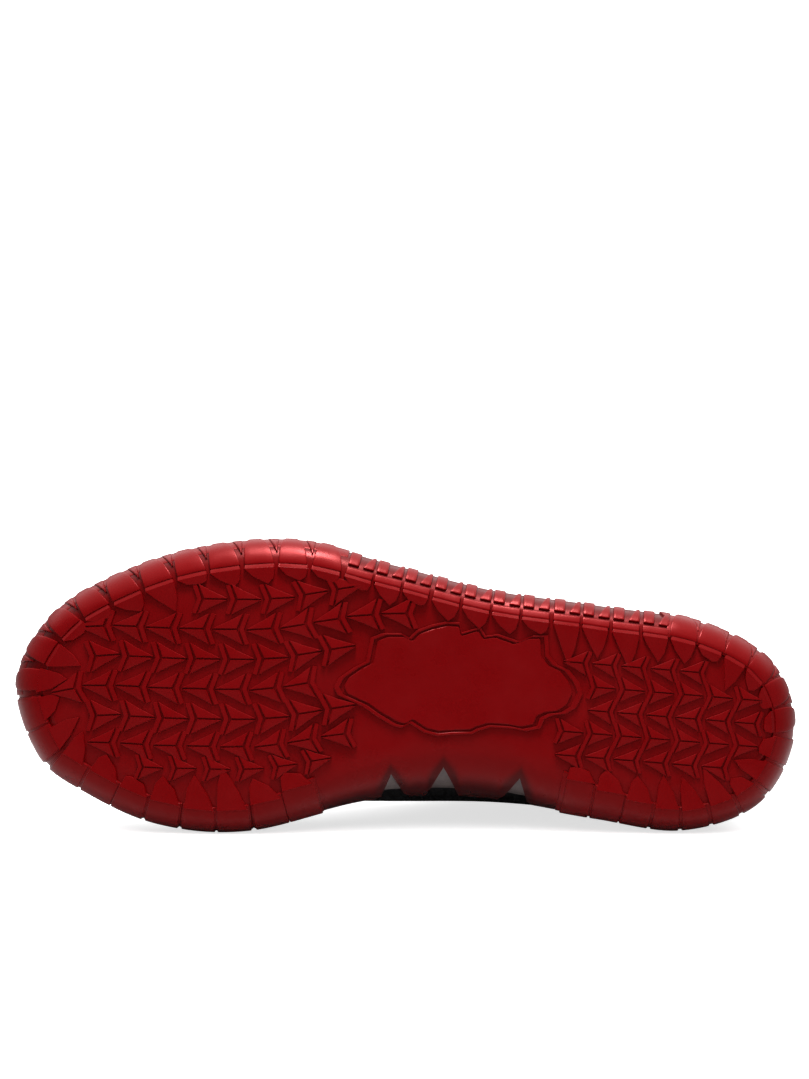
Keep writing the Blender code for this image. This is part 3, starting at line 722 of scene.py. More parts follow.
class Workshop:
    """Makes pieces in the shoe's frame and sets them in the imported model's frame."""

    sharp: float = 0.9

    def __init__(self, form: ShoeForm, pose: Pose) -> None:
        """Keeps the form and the pose."""
        self.form = form
        self.matrix = pose.matrix()

    def start(self) -> BMesh:
        """New mesh with a UV map and a layer for the painted shade of its vertices."""
        bm = bmesh.new()
        bm.loops.layers.uv.new("UVMap")
        bm.verts.layers.float.new("painted_shade")
        return bm

    def sheet(self, bm: BMesh, columns: int, rows: int, place: Place, material: int = 0,
              size: tuple[float, float] = (1, 1),
              painted_shade: Callable[[float, float], float] | None = None) -> None:
        """Lays a grid out on a surface.

        Args:
            bm: mesh to add to.
            columns: number of columns.
            rows: number of rows.
            place: point for a share of the way along and across.
            material: slot of its finish.
            size: width and height of its UV map.
            painted_shade: painted shade for a share of the way along and across.
        """
        layer = bm.verts.layers.float["painted_shade"]
        uv = bm.loops.layers.uv["UVMap"]
        made = bmesh.ops.create_grid(bm, x_segments=columns, y_segments=rows, size=0.5, calc_uvs=True)
        for face in {face for vert in made["verts"] for face in vert.link_faces}:
            face.material_index = material
            for loop in face.loops:
                loop[uv].uv = (loop[uv].uv.x * size[0], loop[uv].uv.y * size[1])
        for vert in made["verts"]:
            u, w = min(max(vert.co.x + 0.5, 0), 1), min(max(vert.co.y + 0.5, 0), 1)
            u, w = round(u * columns) / columns, round(w * rows) / rows
            vert.co = place(u, w)
            # Share of painted shade at each vertex.
            vert[layer] = painted_shade(u, w) if painted_shade else 0.0

    def close(self, bm: BMesh, distance: float = 0.02) -> None:
        """Merges the seams and turns the faces outwards."""
        bmesh.ops.remove_doubles(bm, verts=bm.verts, dist=distance)
        bmesh.ops.dissolve_degenerate(bm, edges=bm.edges, dist=0.002)
        bmesh.ops.recalc_face_normals(bm, faces=bm.faces)

    def thicken(self, bm: BMesh, thickness: float, rounding: float,
                mark: Callable[[], None] | None = None) -> None:
        """Makes a sheet solid and rounds its sharp edges.

        Args:
            bm: the sheet, with its faces turned outwards.
            thickness: how far it reaches inwards.
            rounding: width of the rounded edges.
            mark: called before the edges are rounded.
        """
        bmesh.ops.solidify(bm, geom=bm.faces[:], thickness=thickness)
        bmesh.ops.recalc_face_normals(bm, faces=bm.faces)
        if mark:
            mark()
        ridges = [e for e in bm.edges if e.is_manifold and e.calc_face_angle() > self.sharp]
        self.round_edges(bm, ridges, rounding)

    def round_edges(self, bm: BMesh, edges: Sequence[bmesh.types.BMEdge], width: float) -> None:
        """Bevels edges by a width."""
        bmesh.ops.bevel(bm, geom=list(edges), offset=width, segments=2, profile=0.5, affect="EDGES",
                        material=-1)

    def merge(self, bm: BMesh, part: BMesh) -> None:
        """Adds a part, which is used up, to a mesh."""
        mesh = bpy.data.meshes.new("part")
        part.to_mesh(mesh)
        part.free()
        bm.from_mesh(mesh)
        bpy.data.meshes.remove(mesh)

    def stamp(self, bm: BMesh, pattern: Mesh, matrix: Matrix) -> None:
        """Adds a copy of a pattern mesh, placed by a matrix."""
        placed = pattern.copy()
        placed.transform(matrix)
        bm.from_mesh(placed)
        bpy.data.meshes.remove(placed)

    def piece(self, name: str, bm: BMesh, finishes: Sequence[Material], slot: str,
              nodes: Sequence[str], smooth: float = 35) -> Object:
        """Makes the object of a finished mesh.

        Args:
            name: name of the piece.
            bm: mesh in the shoe's frame, which is used up.
            finishes: materials by slot.
            slot: material slot of the record; not used.
            nodes: solids that the piece stands for.
            smooth: largest angle in degrees that is shaded smooth.

        Returns:
            The object, which rides on the shoe's body.
        """
        bmesh.ops.transform(bm, matrix=self.matrix, verts=bm.verts)
        mesh = bpy.data.meshes.new(name)
        bm.to_mesh(mesh)
        bm.free()
        mesh.shade_smooth()
        mesh.set_sharp_from_angle(angle=math.radians(smooth))
        for finish in finishes:
            mesh.materials.append(finish)
        obj = bpy.data.objects.new(name, mesh)
        bpy.context.scene.collection.objects.link(obj)
        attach(obj, "root")
        if nodes:
            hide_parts(*nodes)
        mesh.calc_loop_triangles()
        log.info("%s: %d triangles", name, len(mesh.loop_triangles))
        return obj


@dataclass
class Tread:
    """Lugs, pads, edge blocks and smooth panel moulded on the outsole."""

    shop: Workshop
    star: tuple[Spot, ...] = ((9, 0), (2.2, 2.4), (-3.7, 5.2), (-1.8, 0), (-3.7, -5.2), (2.2, -2.4))
    facet: tuple[Vertex, ...] = ((0.5, 0.28, 0), (9.1, 0.28, 0.15), (2.7, 3.2, 0.34), (-1.8, 5.6, 0.2))
    rib: tuple[Vertex, ...] = (
        (-0.4, 0, 0.1),
        (-2.4, 5.6, 0.4),
        (-4.0, 5.2, 0.5),
        (-2.1, 0, 0.2),
        (-4.0, -5.2, 0.5),
        (-2.4, -5.6, 0.4),
    )
    pad: tuple[Spot, ...] = ((4.3, -2.8), (1.2, 2.2), (-2.1, 5.3), (-2.1, -5.5), (2.0, -4.8))
    pad_slope: tuple[Vertex, ...] = ((-1.9, 5.2, 0.1), (-3.8, 4.8, 1.0), (-3.8, -5.0, 1.0), (-1.9, -5.4, 0.1))
    pad_lengths: tuple[float, ...] = (0.3, 0.65, 1.0, 1.35, 1.7, 2.1, 2.6, 3.1)
    pad_inset: float = 2.2
    pad_pitch: float = 11.6
    panel: tuple[PanelRow, ...] = (
        PanelRow(174.3, 3.1, 3.8),
        PanelRow(172.8, 6.6, 0.5),
        PanelRow(167.8, 10.6, -1.3),
        PanelRow(163.8, 13.1, -2.7),
        PanelRow(162.8, 21.6, -3.3),
        PanelRow(158.8, 23.6, -5.7),
        PanelRow(152.3, 24.1, -8.9),
        PanelRow(149.3, 22.6, -9.3),
        PanelRow(146.8, 25.6, -7.3),
        PanelRow(141.3, 28.1, -10.3),
        PanelRow(136.3, 29.6, -11.1),
        PanelRow(131.8, 29.6, -10.3),
        PanelRow(130.8, 26.1, -10.1),
        PanelRow(124.3, 28.6, -9.5),
        PanelRow(122.3, 25.6, -8.2),
        PanelRow(117.8, 26.6, -6.5),
        PanelRow(110.3, 24.6, -6.3),
        PanelRow(105.3, 27.1, -6.9),
        PanelRow(100.3, 27.6, -5.5),
        PanelRow(99.3, 20.6, -2.2),
        PanelRow(96.3, 17.4, -0.5),
        PanelRow(91.8, 15.8, 0.3),
        PanelRow(88.3, 12.1, 2.8),
        PanelRow(86.3, 8.1, 8.8),
    )
    sipe_depth: float = 1.05
    heel_rows: tuple[LugRow, ...] = (
        LugRow(19.4, 11.2, 0.45, 0.84, 1),
        LugRow(10.6, 11.2, 0.95, 0.86, -1),
        LugRow(1.7, 11.2, 0.45, 0.86, 1),
        LugRow(-7.0, 11.2, 0.95, 0.86, -1),
        LugRow(-16.0, 11.2, 0.45, 0.86, 1),
    )
    heel_span: tuple[float, float] = (0.3, 3.9)
    ball_rows: tuple[LugRow, ...] = (
        LugRow(33.2, 12.9, 0.72, 1.04, -1),
        LugRow(21.8, 12.9, 0.84, 1.08, 1),
        LugRow(10.4, 12.9, 0.63, 1.08, -1),
        LugRow(-1.0, 12.9, 0.07, 1.08, 1),
        LugRow(-12.4, 12.9, 0.81, 1.08, -1),
        LugRow(-22.8, 12.9, 0.29, 1.0, 1),
        LugRow(-31.4, 12.9, 0.34, 0.86, -1),
    )
    ball_span: tuple[float, float] = (4.1, 9.9)
    heel_pitch: float = 11.45
    ball_pitch: float = 13.7
    ball_start: float = 5.4
    sink: float = 1.0
    margin: float = 1.5
    panel_centre: Vector = field(default_factory=lambda: Vector((132, 10, 0)))
    panel_clear: float = 0.6
    panel_height: float = 1.1
    plate_cuts: range = range(84, 180, 8)
    smooth_arch: tuple[float, float] = (3.4, 5.3)
    heel_end: float = 2.2
    toe_end: float = 9.7
    overlap: float = 0.4
    cut_width: float = 0.5
    waist_blocks: tuple[EdgeBlock, ...] = (
        EdgeBlock((-5.2, 5.2), (-5.2, 5.2), (5, 23), (1.4, 0.9)),
        EdgeBlock((0.9, 5.2), (0.9, 5.2), (29, 72), (1.1, 1.2)),
        EdgeBlock((-5.0, -0.6), (-5.0, -3.7), (29, 72), (1.0, 1.1)),
    )
    thumb: EdgeBlock = EdgeBlock((-6.4, 5.9), (-2.8, 5.6), (7, 82), (1.4, 1.3), 0.7)
    wedge: EdgeBlock = EdgeBlock((6.5, 6.9), (6.1, 10.4), (34, 84), (1.0, 1.1))

    def pattern(self, name: str, outlines: Sequence[Sequence[Vertex]], depth: float,
                bevel: float) -> Mesh:
        """Blocks that stand on the tread, each with a bevelled top and painted shade on its walls.

        Args:
            name: name of the pattern mesh.
            outlines: points round each block's top, with z up into the sole.
            depth: height of the root over the plane that the lugs stand on.
            bevel: width of the rounding.

        Returns:
            The mesh, to be stamped at each place.
        """
        bm = self.shop.start()
        layer = bm.verts.layers.float["painted_shade"]
        for outline in outlines:
            face = bm.faces.new([bm.verts.new(point) for point in outline])
            raised = bmesh.ops.extrude_face_region(bm, geom=[face], use_keep_orig=True)
            root = [item for item in raised["geom"] if isinstance(item, bmesh.types.BMVert)]
            for vert in root:
                vert.co.z = depth
            self.shop.round_edges(bm, face.edges, bevel)
        # Painted shade: each wall darkens a little towards its root, where shade falls between the blocks.
        for vert in bm.verts:
            vert[layer] = 0.1 * ease(vert.co.z, 0.45, self.shop.form.lug)
        bmesh.ops.recalc_face_normals(bm, faces=bm.faces)
        mesh = bpy.data.meshes.new(name)
        bm.to_mesh(mesh)
        bm.free()
        return mesh

    def star_pattern(self) -> Mesh:
        """Arrow-shaped lug: two facets that fall away from a sipe, and a bent rib across their back."""
        outlines = [[(a * 0.92, b * 0.92, self.sipe_depth) for a, b in self.star]]
        outlines.append(list(self.facet))
        outlines.append([(a, -b, fall) for a, b, fall in reversed(self.facet)])
        outlines.append(list(self.rib))
        return self.pattern("arrow_lug", outlines, self.shop.form.lug + self.sink, 0.22)

    def frame_at(self, point: Vector, along: Vector, size: float) -> Matrix:
        """Placement on the tread at a point of its base, with x along a direction and z into the sole."""
        form = self.shop.form
        slope = form.tread_z(point.x + 0.5) - form.tread_z(point.x - 0.5)
        up = Vector((-slope, 0, 1)).normalized()
        x = (along - up * along.dot(up)).normalized()
        y = up.cross(x)
        turn = Matrix((x, y, up)).transposed().to_4x4()
        stands = Vector((point.x, point.y, form.tread_z(point.x)))
        return Matrix.Translation(stands) @ turn @ Matrix.Diagonal((size, size, 1, 1))

    def evenly(self, point_at: Callable[[float], Vector], start: float, end: float, pitch: float,
               phase: float = 0.5) -> list[float]:
        """Spaces points along a curve.

        Args:
            point_at: point of the curve at t.
            start: first t.
            end: last t.
            pitch: distance between the points.
            phase: share of a pitch that counts as travelled at the start.

        Returns:
            Values of t.
        """
        found, travelled, steps = [], pitch * phase, 600
        previous = point_at(start)
        for i in range(1, steps + 1):
            t = start + (end - start) * i / steps
            here = point_at(t)
            travelled += (here - previous).length
            previous = here
            if travelled >= pitch:
                found.append(t)
                travelled -= pitch
        return found

    def near_panel(self, point: Vector, clear: float) -> bool:
        """True inside the smooth panel, or closer to it than the clear distance."""
        for a, b in zip(self.panel, self.panel[1:]):
            if b.x - clear < point.x < a.x + clear:
                if min(a.inner, b.inner) - clear < point.y < max(a.outer, b.outer) + clear:
                    return True
        return False

    def on_tread(self, point: Vector) -> bool:
        """True where a point lies inside the tread, clear of its edge."""
        gaps = [(edge - point).length_squared for edge in self.edge_points]
        nearest = gaps.index(min(gaps))
        edge, out = self.edge_points[nearest], self.edge_normals[nearest]
        return (edge - point).dot(out) > self.margin

    def is_free(self, corners: Sequence[Vector], blocks: Sequence[Sequence[Vector]]) -> bool:
        """True where a three-cornered block and others stay out of each other.

        Args:
            corners: corners of the block.
            blocks: corners of each of the others.

        Returns:
            Whether no corner, middle of a side or centre of one lies in another.
        """
        def spots(block: Sequence[Vector]) -> list[Vector]:
            """Points that are tried."""
            a, b, c = block
            return [a, b, c, (a + b) / 2, (b + c) / 2, (c + a) / 2, (a + b + c) / 3]

        tried = spots(corners)
        for other in blocks:
            if any(intersect_point_tri_2d(point, *other) for point in tried):
                return False
            if any(intersect_point_tri_2d(point, *corners) for point in spots(other)):
                return False
        return True

    def add_rows(self, bm: BMesh) -> None:
        """Rows of lugs along heel and ball, pointing to toe and heel in turn."""
        form = self.shop.form
        pattern = self.star_pattern()
        for t, aside, row in self.row_places():
            middle = form.row_point(t, 0.5)
            along = form.row_point(t + 0.05, 0.5) - form.row_point(t - 0.05, 0.5)
            if row in self.heel_rows:
                middle.y, along.y = 0, 0
            matrix = self.frame_at(middle + aside, along * row.way, row.size)
            whole, wide, core = (
                [matrix @ Vector((a * share, b * share, 0)) for a, b in self.star] for share in (1, 0.8, 0.5))
            if any(self.near_panel(p, self.panel_clear) or not self.on_tread(p) for p in wide):
                continue
            if self.is_free(core[::2], self.pads):
                self.shop.stamp(bm, pattern, matrix)
                self.lugs.append(whole[::2])

    def row_places(self) -> list[tuple[float, Vector, LugRow]]:
        """Section, distance from the middle and row of each lug."""
        form = self.shop.form
        places = []
        for rows, span in ((self.heel_rows, self.heel_span), (self.ball_rows, self.ball_span)):
            for row in rows:
                aside = Vector((0, row.aside, 0))
                sections = self.evenly(lambda t: form.row_point(t, 0.5), *span, row.pitch, row.phase)
                places += [(t, aside, row) for t in sections]
        return places

    def edge_sections(self) -> list[tuple[float, Side]]:
        """Sections and sides round the heel and round the toe, up to the smooth arch wall."""
        form = self.shop.form
        low, high = self.smooth_arch

        def middle(t: float) -> Vector:
            """Point half-way up the rounded edge."""
            return form.corner(*form.past_ends(t, Side.OUTER), math.pi / 4)

        found = self.evenly(middle, self.ball_start, -low, self.heel_pitch, 0.755)
        found += self.evenly(middle, self.ball_start, 2 * form.last - high, self.ball_pitch, 0.33)
        return [form.past_ends(t, Side.OUTER) for t in found]

    def pad_places(self) -> list[Matrix]:
        """Places of the three-cornered pads inside the tread's edge, pointing inwards, clear of the panel."""
        form = self.shop.form
        sections = self.edge_sections()
        feet = [form.corner(t, side, 0) for t, side in sections]
        places = []
        for i, (t, side) in enumerate(sections):
            nearest = min((foot - feet[i]).length for foot in feet[:i] + feet[i + 1:])
            inward = -form.plan_normal(t, side)
            place = self.frame_at(feet[i] + inward * self.pad_inset, inward, 1.0)
            place = place @ Matrix.Diagonal((1, min(nearest / self.pad_pitch, 1.1), 1, 1))
            if not any(self.near_panel(place @ Vector((a, b, 0)), 0.0) for a, b in self.pad[2:4]):
                places.append(place)
        return places

    def pad_corners(self, place: Matrix, length: float) -> list[Vector]:
        """Tip and base of a pad that is drawn out by a length."""
        corners = (self.pad[0], self.pad[2], self.pad[3])
        return [place @ Vector((a * length if a > 0 else a, b, 0)) for a, b in corners]

    def add_pads(self, bm: BMesh, places: Sequence[Matrix]) -> None:
        """Pads, each drawn out as far as the lugs and pads next to it leave room.

        On the outer side they slope down to the edge's blocks. On the inner side they run into them.
        """
        root = self.shop.form.lug + self.sink
        run_in = self.pad_slope[1][0] - self.pad_slope[0][0]
        sloped, flush = {}, {}
        for length in self.pad_lengths:
            outline = [(a * length, b, 0.08 * a) if a > 0 else (a, b, 0.0) for a, b in self.pad]
            sloped[length] = self.pattern("edge_pad", [outline, list(self.pad_slope)], root, 0.2)
            outline = [(a if a > 0 else a + run_in, b, fall) for a, b, fall in outline]
            flush[length] = self.pattern("edge_pad", [outline], root, 0.2)
        for i, place in enumerate(places):
            others = self.lugs + self.pads[:i] + self.pads[i + 1:]
            fits = [k for k in self.pad_lengths if self.is_free(self.pad_corners(place, k * 1.1), others)]
            fits = [k for k in fits if not self.near_panel(self.pad_corners(place, k)[0], 0.0)]
            length = max(fits, default=self.pad_lengths[0])
            self.shop.stamp(bm, (sloped if place.translation.y > 0 else flush)[length], place)
            self.pads[i] = self.pad_corners(place, length)

    def add_edge_block(self, bm: BMesh, t: float, side: Side, form_of: EdgeBlock) -> None:
        """One block on the sole's edge.

        Args:
            bm: mesh to add to.
            t: section that the ends are measured from.
            side: side of the foot.
            form_of: the block's form.
        """
        form = self.shop.form
        foot, head, angles, proud, dome = form_of
        per_mm = 0.02 / (form.plan(t + 0.01, side) - form.plan(t - 0.01, side)).length
        low, high = (math.radians(a) for a in angles)
        block = self.shop.start()

        def place(u: float, w: float) -> Vector:
            """Point of the block's face."""
            back, front = (a + (b - a) * w for a, b in zip(foot, head))
            along = (back + front) / 2 + (front - back) * (u - 0.5) * math.sqrt(1 - dome * w**3)
            here = form.past_ends(t + along * per_mm, side)
            return form.corner(*here, low + (high - low) * w, proud=proud[0] + (proud[1] - proud[0]) * w)

        self.shop.sheet(block, 4, 8 if dome else 4, place)
        bmesh.ops.recalc_face_normals(block, faces=block.faces)
        block.normal_update()
        outward = form.plan_normal(t, side) - UP
        if sum(f.normal.dot(outward) for f in block.faces) < 0:
            bmesh.ops.reverse_faces(block, faces=block.faces)
        front_face = set(block.verts)

        def mark() -> None:
            """Painted shade at the block's root, where shade falls between blocks."""
            layer = block.verts.layers.float["painted_shade"]
            for vert in block.verts:
                vert[layer] = 0.0 if vert in front_face else 1.0

        self.shop.thicken(block, max(proud) + self.sink, 0.5, mark)
        self.shop.merge(bm, block)

    def edge_blocks(self, t: float, side: Side) -> list[EdgeBlock]:
        """Blocks at a section: waist squares or thumbs outside, plain ones inside, and the band behind."""
        wide = self.ball_pitch / 2 + self.overlap
        if side == Side.INNER:
            half = ((self.heel_pitch if t < self.ball_start - 1 else self.ball_pitch) - self.cut_width) / 2
            blocks = [EdgeBlock((-half, half), (-half, half), (3, 82), (1.5, 1.1))]
        elif self.heel_end < t < self.ball_start:
            return list(self.waist_blocks)
        else:
            blocks = [self.thumb, self.wedge] if t < self.toe_end else [self.thumb]
        if side == Side.INNER or t < self.heel_end:
            return blocks + [EdgeBlock((-wide, wide), (-wide, wide), (3, 78), (1.0, 0.6))]
        return blocks + [EdgeBlock((-wide, wide), (-wide, wide), (50, 86), (0.2, 0.85))]

    def add_edge_blocks(self, bm: BMesh) -> None:
        """Blocks all along the rounded edge."""
        for t, side in self.edge_sections():
            for block in self.edge_blocks(t, side):
                self.add_edge_block(bm, t, side, block)

    def add_plate(self, bm: BMesh, plate: BMesh, rounding: float) -> None:
        """Raises a flat plate off the base, with painted shade at its root, bends it to the tread and adds
        it.

        Args:
            bm: mesh to add to.
            plate: flat faces at height 0, which are used up.
            rounding: width of the rounded edge.
        """
        form = self.shop.form
        layer = plate.verts.layers.float["painted_shade"]
        rim = [edge for edge in plate.edges if edge.is_boundary]
        raised = bmesh.ops.extrude_face_region(plate, geom=plate.faces[:], use_keep_orig=True)
        root = [item for item in raised["geom"] if isinstance(item, bmesh.types.BMVert)]
        # The root is dropped into the sole and gets full painted shade.
        for vert in root:
            vert.co.z = self.panel_height + self.sink
            vert[layer] = 1.0
        self.shop.round_edges(plate, rim, rounding)
        plate.normal_update()
        for x in self.plate_cuts:
            parts = plate.verts[:] + plate.edges[:] + plate.faces[:]
            bmesh.ops.bisect_plane(plate, geom=parts, plane_co=(x, 0, 0), plane_no=(1, 0, 0))
        for vert in plate.verts:
            vert.co.z += form.tread_z(vert.co.x) + form.lug - self.panel_height
        bmesh.ops.recalc_face_normals(plate, faces=plate.faces)
        self.shop.merge(bm, plate)

    def panel_loop(self, plate: BMesh, grown: float) -> list[bmesh.types.BMVert]:
        """Vertices round the panel's outline, enlarged by grown."""
        points = [Vector((row.x, row.outer, 0)) for row in self.panel]
        points += [Vector((row.x, row.inner, 0)) for row in self.panel[-2:0:-1]]
        return [plate.verts.new(self.panel_centre + (point - self.panel_centre) * grown) for point in points]

    def add_panel(self, bm: BMesh) -> None:
        """Bare smooth panel under the arch with a stepped outline, and the band round it."""
        plate = self.shop.start()
        plate.faces.new(self.panel_loop(plate, 0.985))
        bmesh.ops.bevel(plate, geom=plate.verts[:], offset=0.7, segments=3, profile=0.5, affect="VERTICES",
                        material=-1)
        self.add_plate(bm, plate, 0.35)
        band = self.shop.start()
        loops = []
        for grown in (1.025, 1.075):
            verts = self.panel_loop(band, grown)
            loops += [band.edges.new(pair) for pair in zip(verts, verts[1:] + verts[:1])]
        bmesh.ops.bridge_loops(band, edges=loops)
        self.add_plate(bm, band, 0.3)

    def build(self, bm: BMesh) -> None:
        """Adds the whole tread to the outsole's mesh."""
        form = self.shop.form
        places = [(t / 8, side) for t in range(form.last * 8 + 1) for side in Side]
        self.edge_points = [form.corner(t, side, 0) for t, side in places]
        self.edge_normals = [form.plan_normal(t, side) for t, side in places]
        self.lugs: list[list[Vector]] = []
        pads = self.pad_places()
        self.pads = [self.pad_corners(place, self.pad_lengths[0]) for place in pads]
        self.add_rows(bm)
        self.add_pads(bm, pads)
        self.add_edge_blocks(bm)
        self.add_panel(bm)


@dataclass
class Outsole:
    """Cup of red rubber with its tread."""

    shop: Workshop
    columns: int = 400
    rows: int = 40
    floor_fill: float = 0.65

    def cup_point(self, u: float, w: float) -> Vector:
        """Point of the cup's skin, from the middle of its tread over the rim to the middle of its floor."""
        form = self.shop.form
        t, side = form.round_shoe(u)
        if w <= 0.25:
            fields = 1 - ease(t, 2.9, 3.5) * (1 - ease(t, 5.3, 5.9))
            filled = self.floor_fill * fields * (1 - ease(w, 0.2, 0.25))
            return form.row_point(t, 0.5 + side * 2 * w) - UP * filled
        if w <= 0.65:
            return form.cup_side(t, side, ((w - 0.25) / 0.4) ** 1.3, 0, 0)
        if w < 0.7:
            return form.cup_side(t, side, 1, 0, 0).lerp(form.cup_side(t, side, 1, form.floor, form.wall), 0.5)
        if w <= 0.9:
            return form.cup_side(t, side, (0.9 - w) / 0.2, form.floor, form.wall)
        edges = [form.cup_side(t, s, 0, form.floor, form.wall) for s in (side, Side(-side))]
        return edges[0].lerp(edges[1], (w - 0.9) / 0.2)

    def shade(self, u: float, w: float) -> float:
        """Painted shade of the cup: darker behind the edge's blocks, at the rim and at the foot of the arch
        wall, where shade falls.
        """
        t, side = self.shop.form.round_shoe(u)
        # The smooth arch wall gets no painted shade on its face, and painted shade at its foot.
        arch = ease(t, 3.0, 3.4) * (1 - ease(t, 5.2, 5.6)) if side == Side.INNER else 0
        edge = (0.65 if side == Side.OUTER else 0.3) * ease(w, 0.26, 0.3) * (1 - ease(w, 0.45, 0.5))
        depth = edge + 0.25 * ease(w, 0.52, 0.58)
        return depth * (1 - arch * ease(w, 0.1, 0.22)) + arch * ease(w, 0.36, 0.5)

    def build(self, rubber: Material) -> Object:
        """Makes the outsole."""
        bm = self.shop.start()
        # The cup's vertices get painted shade from shade().
        self.shop.sheet(bm, self.columns, self.rows, self.cup_point, painted_shade=self.shade)
        self.shop.close(bm)
        Tread(self.shop).build(bm)
        obj = self.shop.piece("outsole_dressed", bm, [rubber], "outsole", ["outsole"], 40)
        obj.modifiers.new("even_shading", "WEIGHTED_NORMAL").keep_sharp = True
        return obj


@dataclass
class Midsole:
    """Foam that fills the cup and shows in the arch wall's notches."""

    shop: Workshop
    columns: int = 200
    relief: float = 0.26
    lip_draft: float = 2.0

    def point(self, u: float, w: float) -> Vector:
        """Point of the foam's skin, from its underside's middle over the lip to the middle of the bed."""
        form = self.shop.form
        t, side = form.round_shoe(u)
        floor, wall = form.floor + form.gap, form.wall + form.clear
        x = form.plan(t, side).x
        lip = form.bed_z(x) + form.edge_at("lip", t)
        if w <= 0.1:
            edges = [form.cup_side(t, s, 0, floor, wall, False, self.relief) for s in (side, Side(-side))]
            return edges[1].lerp(edges[0], 0.5 + 5 * w)
        if w <= 0.6:
            return form.cup_side(t, side, (w - 0.1) / 0.5 * 0.9, floor, wall, False, self.relief)
        outside = form.side_block + wall
        inside = form.feather - form.gap - self.lip_draft
        if w <= 0.75:
            f = (w - 0.6) / 0.15
            return form.inset(t, side, outside + (inside - outside) * f, lip + 0.4 * math.sin(math.pi * f))
        bed = form.inset(t, side, form.feather - form.gap, form.bed_z(x))
        if w <= 0.85:
            return form.inset(t, side, inside, lip).lerp(bed, (w - 0.75) / 0.1)
        other = form.inset(t, Side(-side), form.feather - form.gap, form.bed_z(form.plan(t, Side(-side)).x))
        return bed.lerp(other, (w - 0.85) / 0.3)

    def build(self, foam: Material) -> Object:
        """Makes the midsole."""
        bm = self.shop.start()
        self.shop.sheet(bm, self.columns, 40, self.point)
        self.shop.close(bm)
        return self.shop.piece("midsole_dressed", bm, [foam], "midsole", ["midsole"])


@dataclass
class Insole:
    """Sock liner on the foot bed."""

    shop: Workshop
    thick: float = 4.0

    def point(self, u: float, w: float) -> Vector:
        """Point of the liner's skin, from the middle of its underside to the middle of its top."""
        form = self.shop.form
        t, side = form.round_shoe(u)
        edge = form.feather + form.upper_wall + 2 * form.gap

        def at(s: Side, depth: float, rise: float) -> Vector:
            """Point at a depth inside the outline and a height over the bed."""
            return form.inset(t, s, depth, form.bed_z(form.plan(t, s).x) + rise)

        if w <= 0.2:
            return at(side, edge, form.gap).lerp(at(Side(-side), edge, form.gap), 0.5 - 2.5 * w)
        if w <= 0.5:
            f = (w - 0.2) / 0.3
            roll = 1.5 * (1 - math.sqrt(max(1 - max(f - 0.5, 0) ** 2 * 4, 0)))
            return at(side, edge + roll, form.gap + (self.thick - form.gap) * f)
        f = (w - 0.5) / 0.5
        return at(side, edge + 1.5, self.thick).lerp(at(Side(-side), edge + 1.5, self.thick), f / 2)

    def build(self, cloth: Material) -> Object:
        """Makes the insole."""
        bm = self.shop.start()
        self.shop.sheet(bm, 160, 20, self.point, size=(60, 12))
        self.shop.close(bm)
        return self.shop.piece("insole_dressed", bm, [cloth], "insole", ["insole"])


@dataclass
class Upper:
    """Knitted upper with its lined, padded collar."""

    shop: Workshop
    columns: int = 240
    rows: int = 36

    def section(self, t: float) -> float:
        """Section of a column, with the columns drawn together at the throat's front."""
        front, start = self.shop.form.throat_front, self.shop.form.throat_round
        return front - (front - t) ** 1.6 if start < t < front else t

    def crease(self, t: float, h: float) -> float:
        """Depth of the soft folds over the ball and below the ankle."""
        folds = ((6.55, 0.09, 0.55, 0.7), (6.95, 0.1, 0.5, 0.6), (7.3, 0.08, 0.4, 0.4))
        depth = sum(d * math.exp(-(((t - m + 0.25 * (h - 0.7)) / w) ** 2)) * ease(h, low, low + 0.3)
                    for m, w, low, d in folds)
        ankle = ease(t, 1.6, 2.6) * (1 - ease(t, 3.4, 4.4))
        return 1.5 * depth + 0.9 * math.exp(-(((h - 0.62 + 0.03 * t) / 0.05) ** 2)) * ankle

    def outer(self, u: float, w: float) -> Vector:
        """Point of the outer face."""
        t, side = self.shop.form.round_shoe(u)
        t = self.section(t)
        return self.shop.form.over_upper(t, side, w, -self.crease(t, w) * (1 - ease(w, 0.9, 1)))

    def inner(self, u: float, w: float) -> Vector:
        """Point of the lining."""
        form = self.shop.form
        t, side = form.round_shoe(u)
        t = self.section(t)
        point = form.over_upper(t, side, w, -form.wall_thickness(t, w))
        if w == 0:
            point.z = form.upper_point(t, side, 0).z
        return point

    def build(self, knit: Material, lining: Material) -> Object:
        """Makes the upper: two faces joined round the foot, collar and throat."""
        form = self.shop.form
        bm = self.shop.start()
        share = form.throat_front / form.last

        def collar(u: float, w: float) -> Vector:
            """Point of the rolled edge between the two faces."""
            along = (0.5 * share * (1 - 2 * u)) if u <= 0.5 else 1 - 0.5 * share * (2 * u - 1)
            t, _ = form.round_shoe(along)
            outer, inner = self.outer(along, 1), self.inner(along, 1)
            roll = 0.45 * (outer - inner).length * math.sin(math.pi * w) * (1 - ease(t, 5.6, 6))
            return outer.lerp(inner, w) + UP * roll

        self.shop.sheet(bm, self.columns, self.rows, self.outer, 0, (62, 11))
        self.shop.sheet(bm, self.columns, 20, self.inner, 1, (62, 11))
        self.shop.sheet(bm, round(self.columns * share), 4, collar, 1, (40, 0.8))
        self.shop.sheet(bm, self.columns, 1, lambda u, w: self.outer(u, 0).lerp(self.inner(u, 0), w), 1)
        self.shop.close(bm)
        return self.shop.piece("upper_dressed", bm, [knit, lining], "upper", ["upper"], 60)


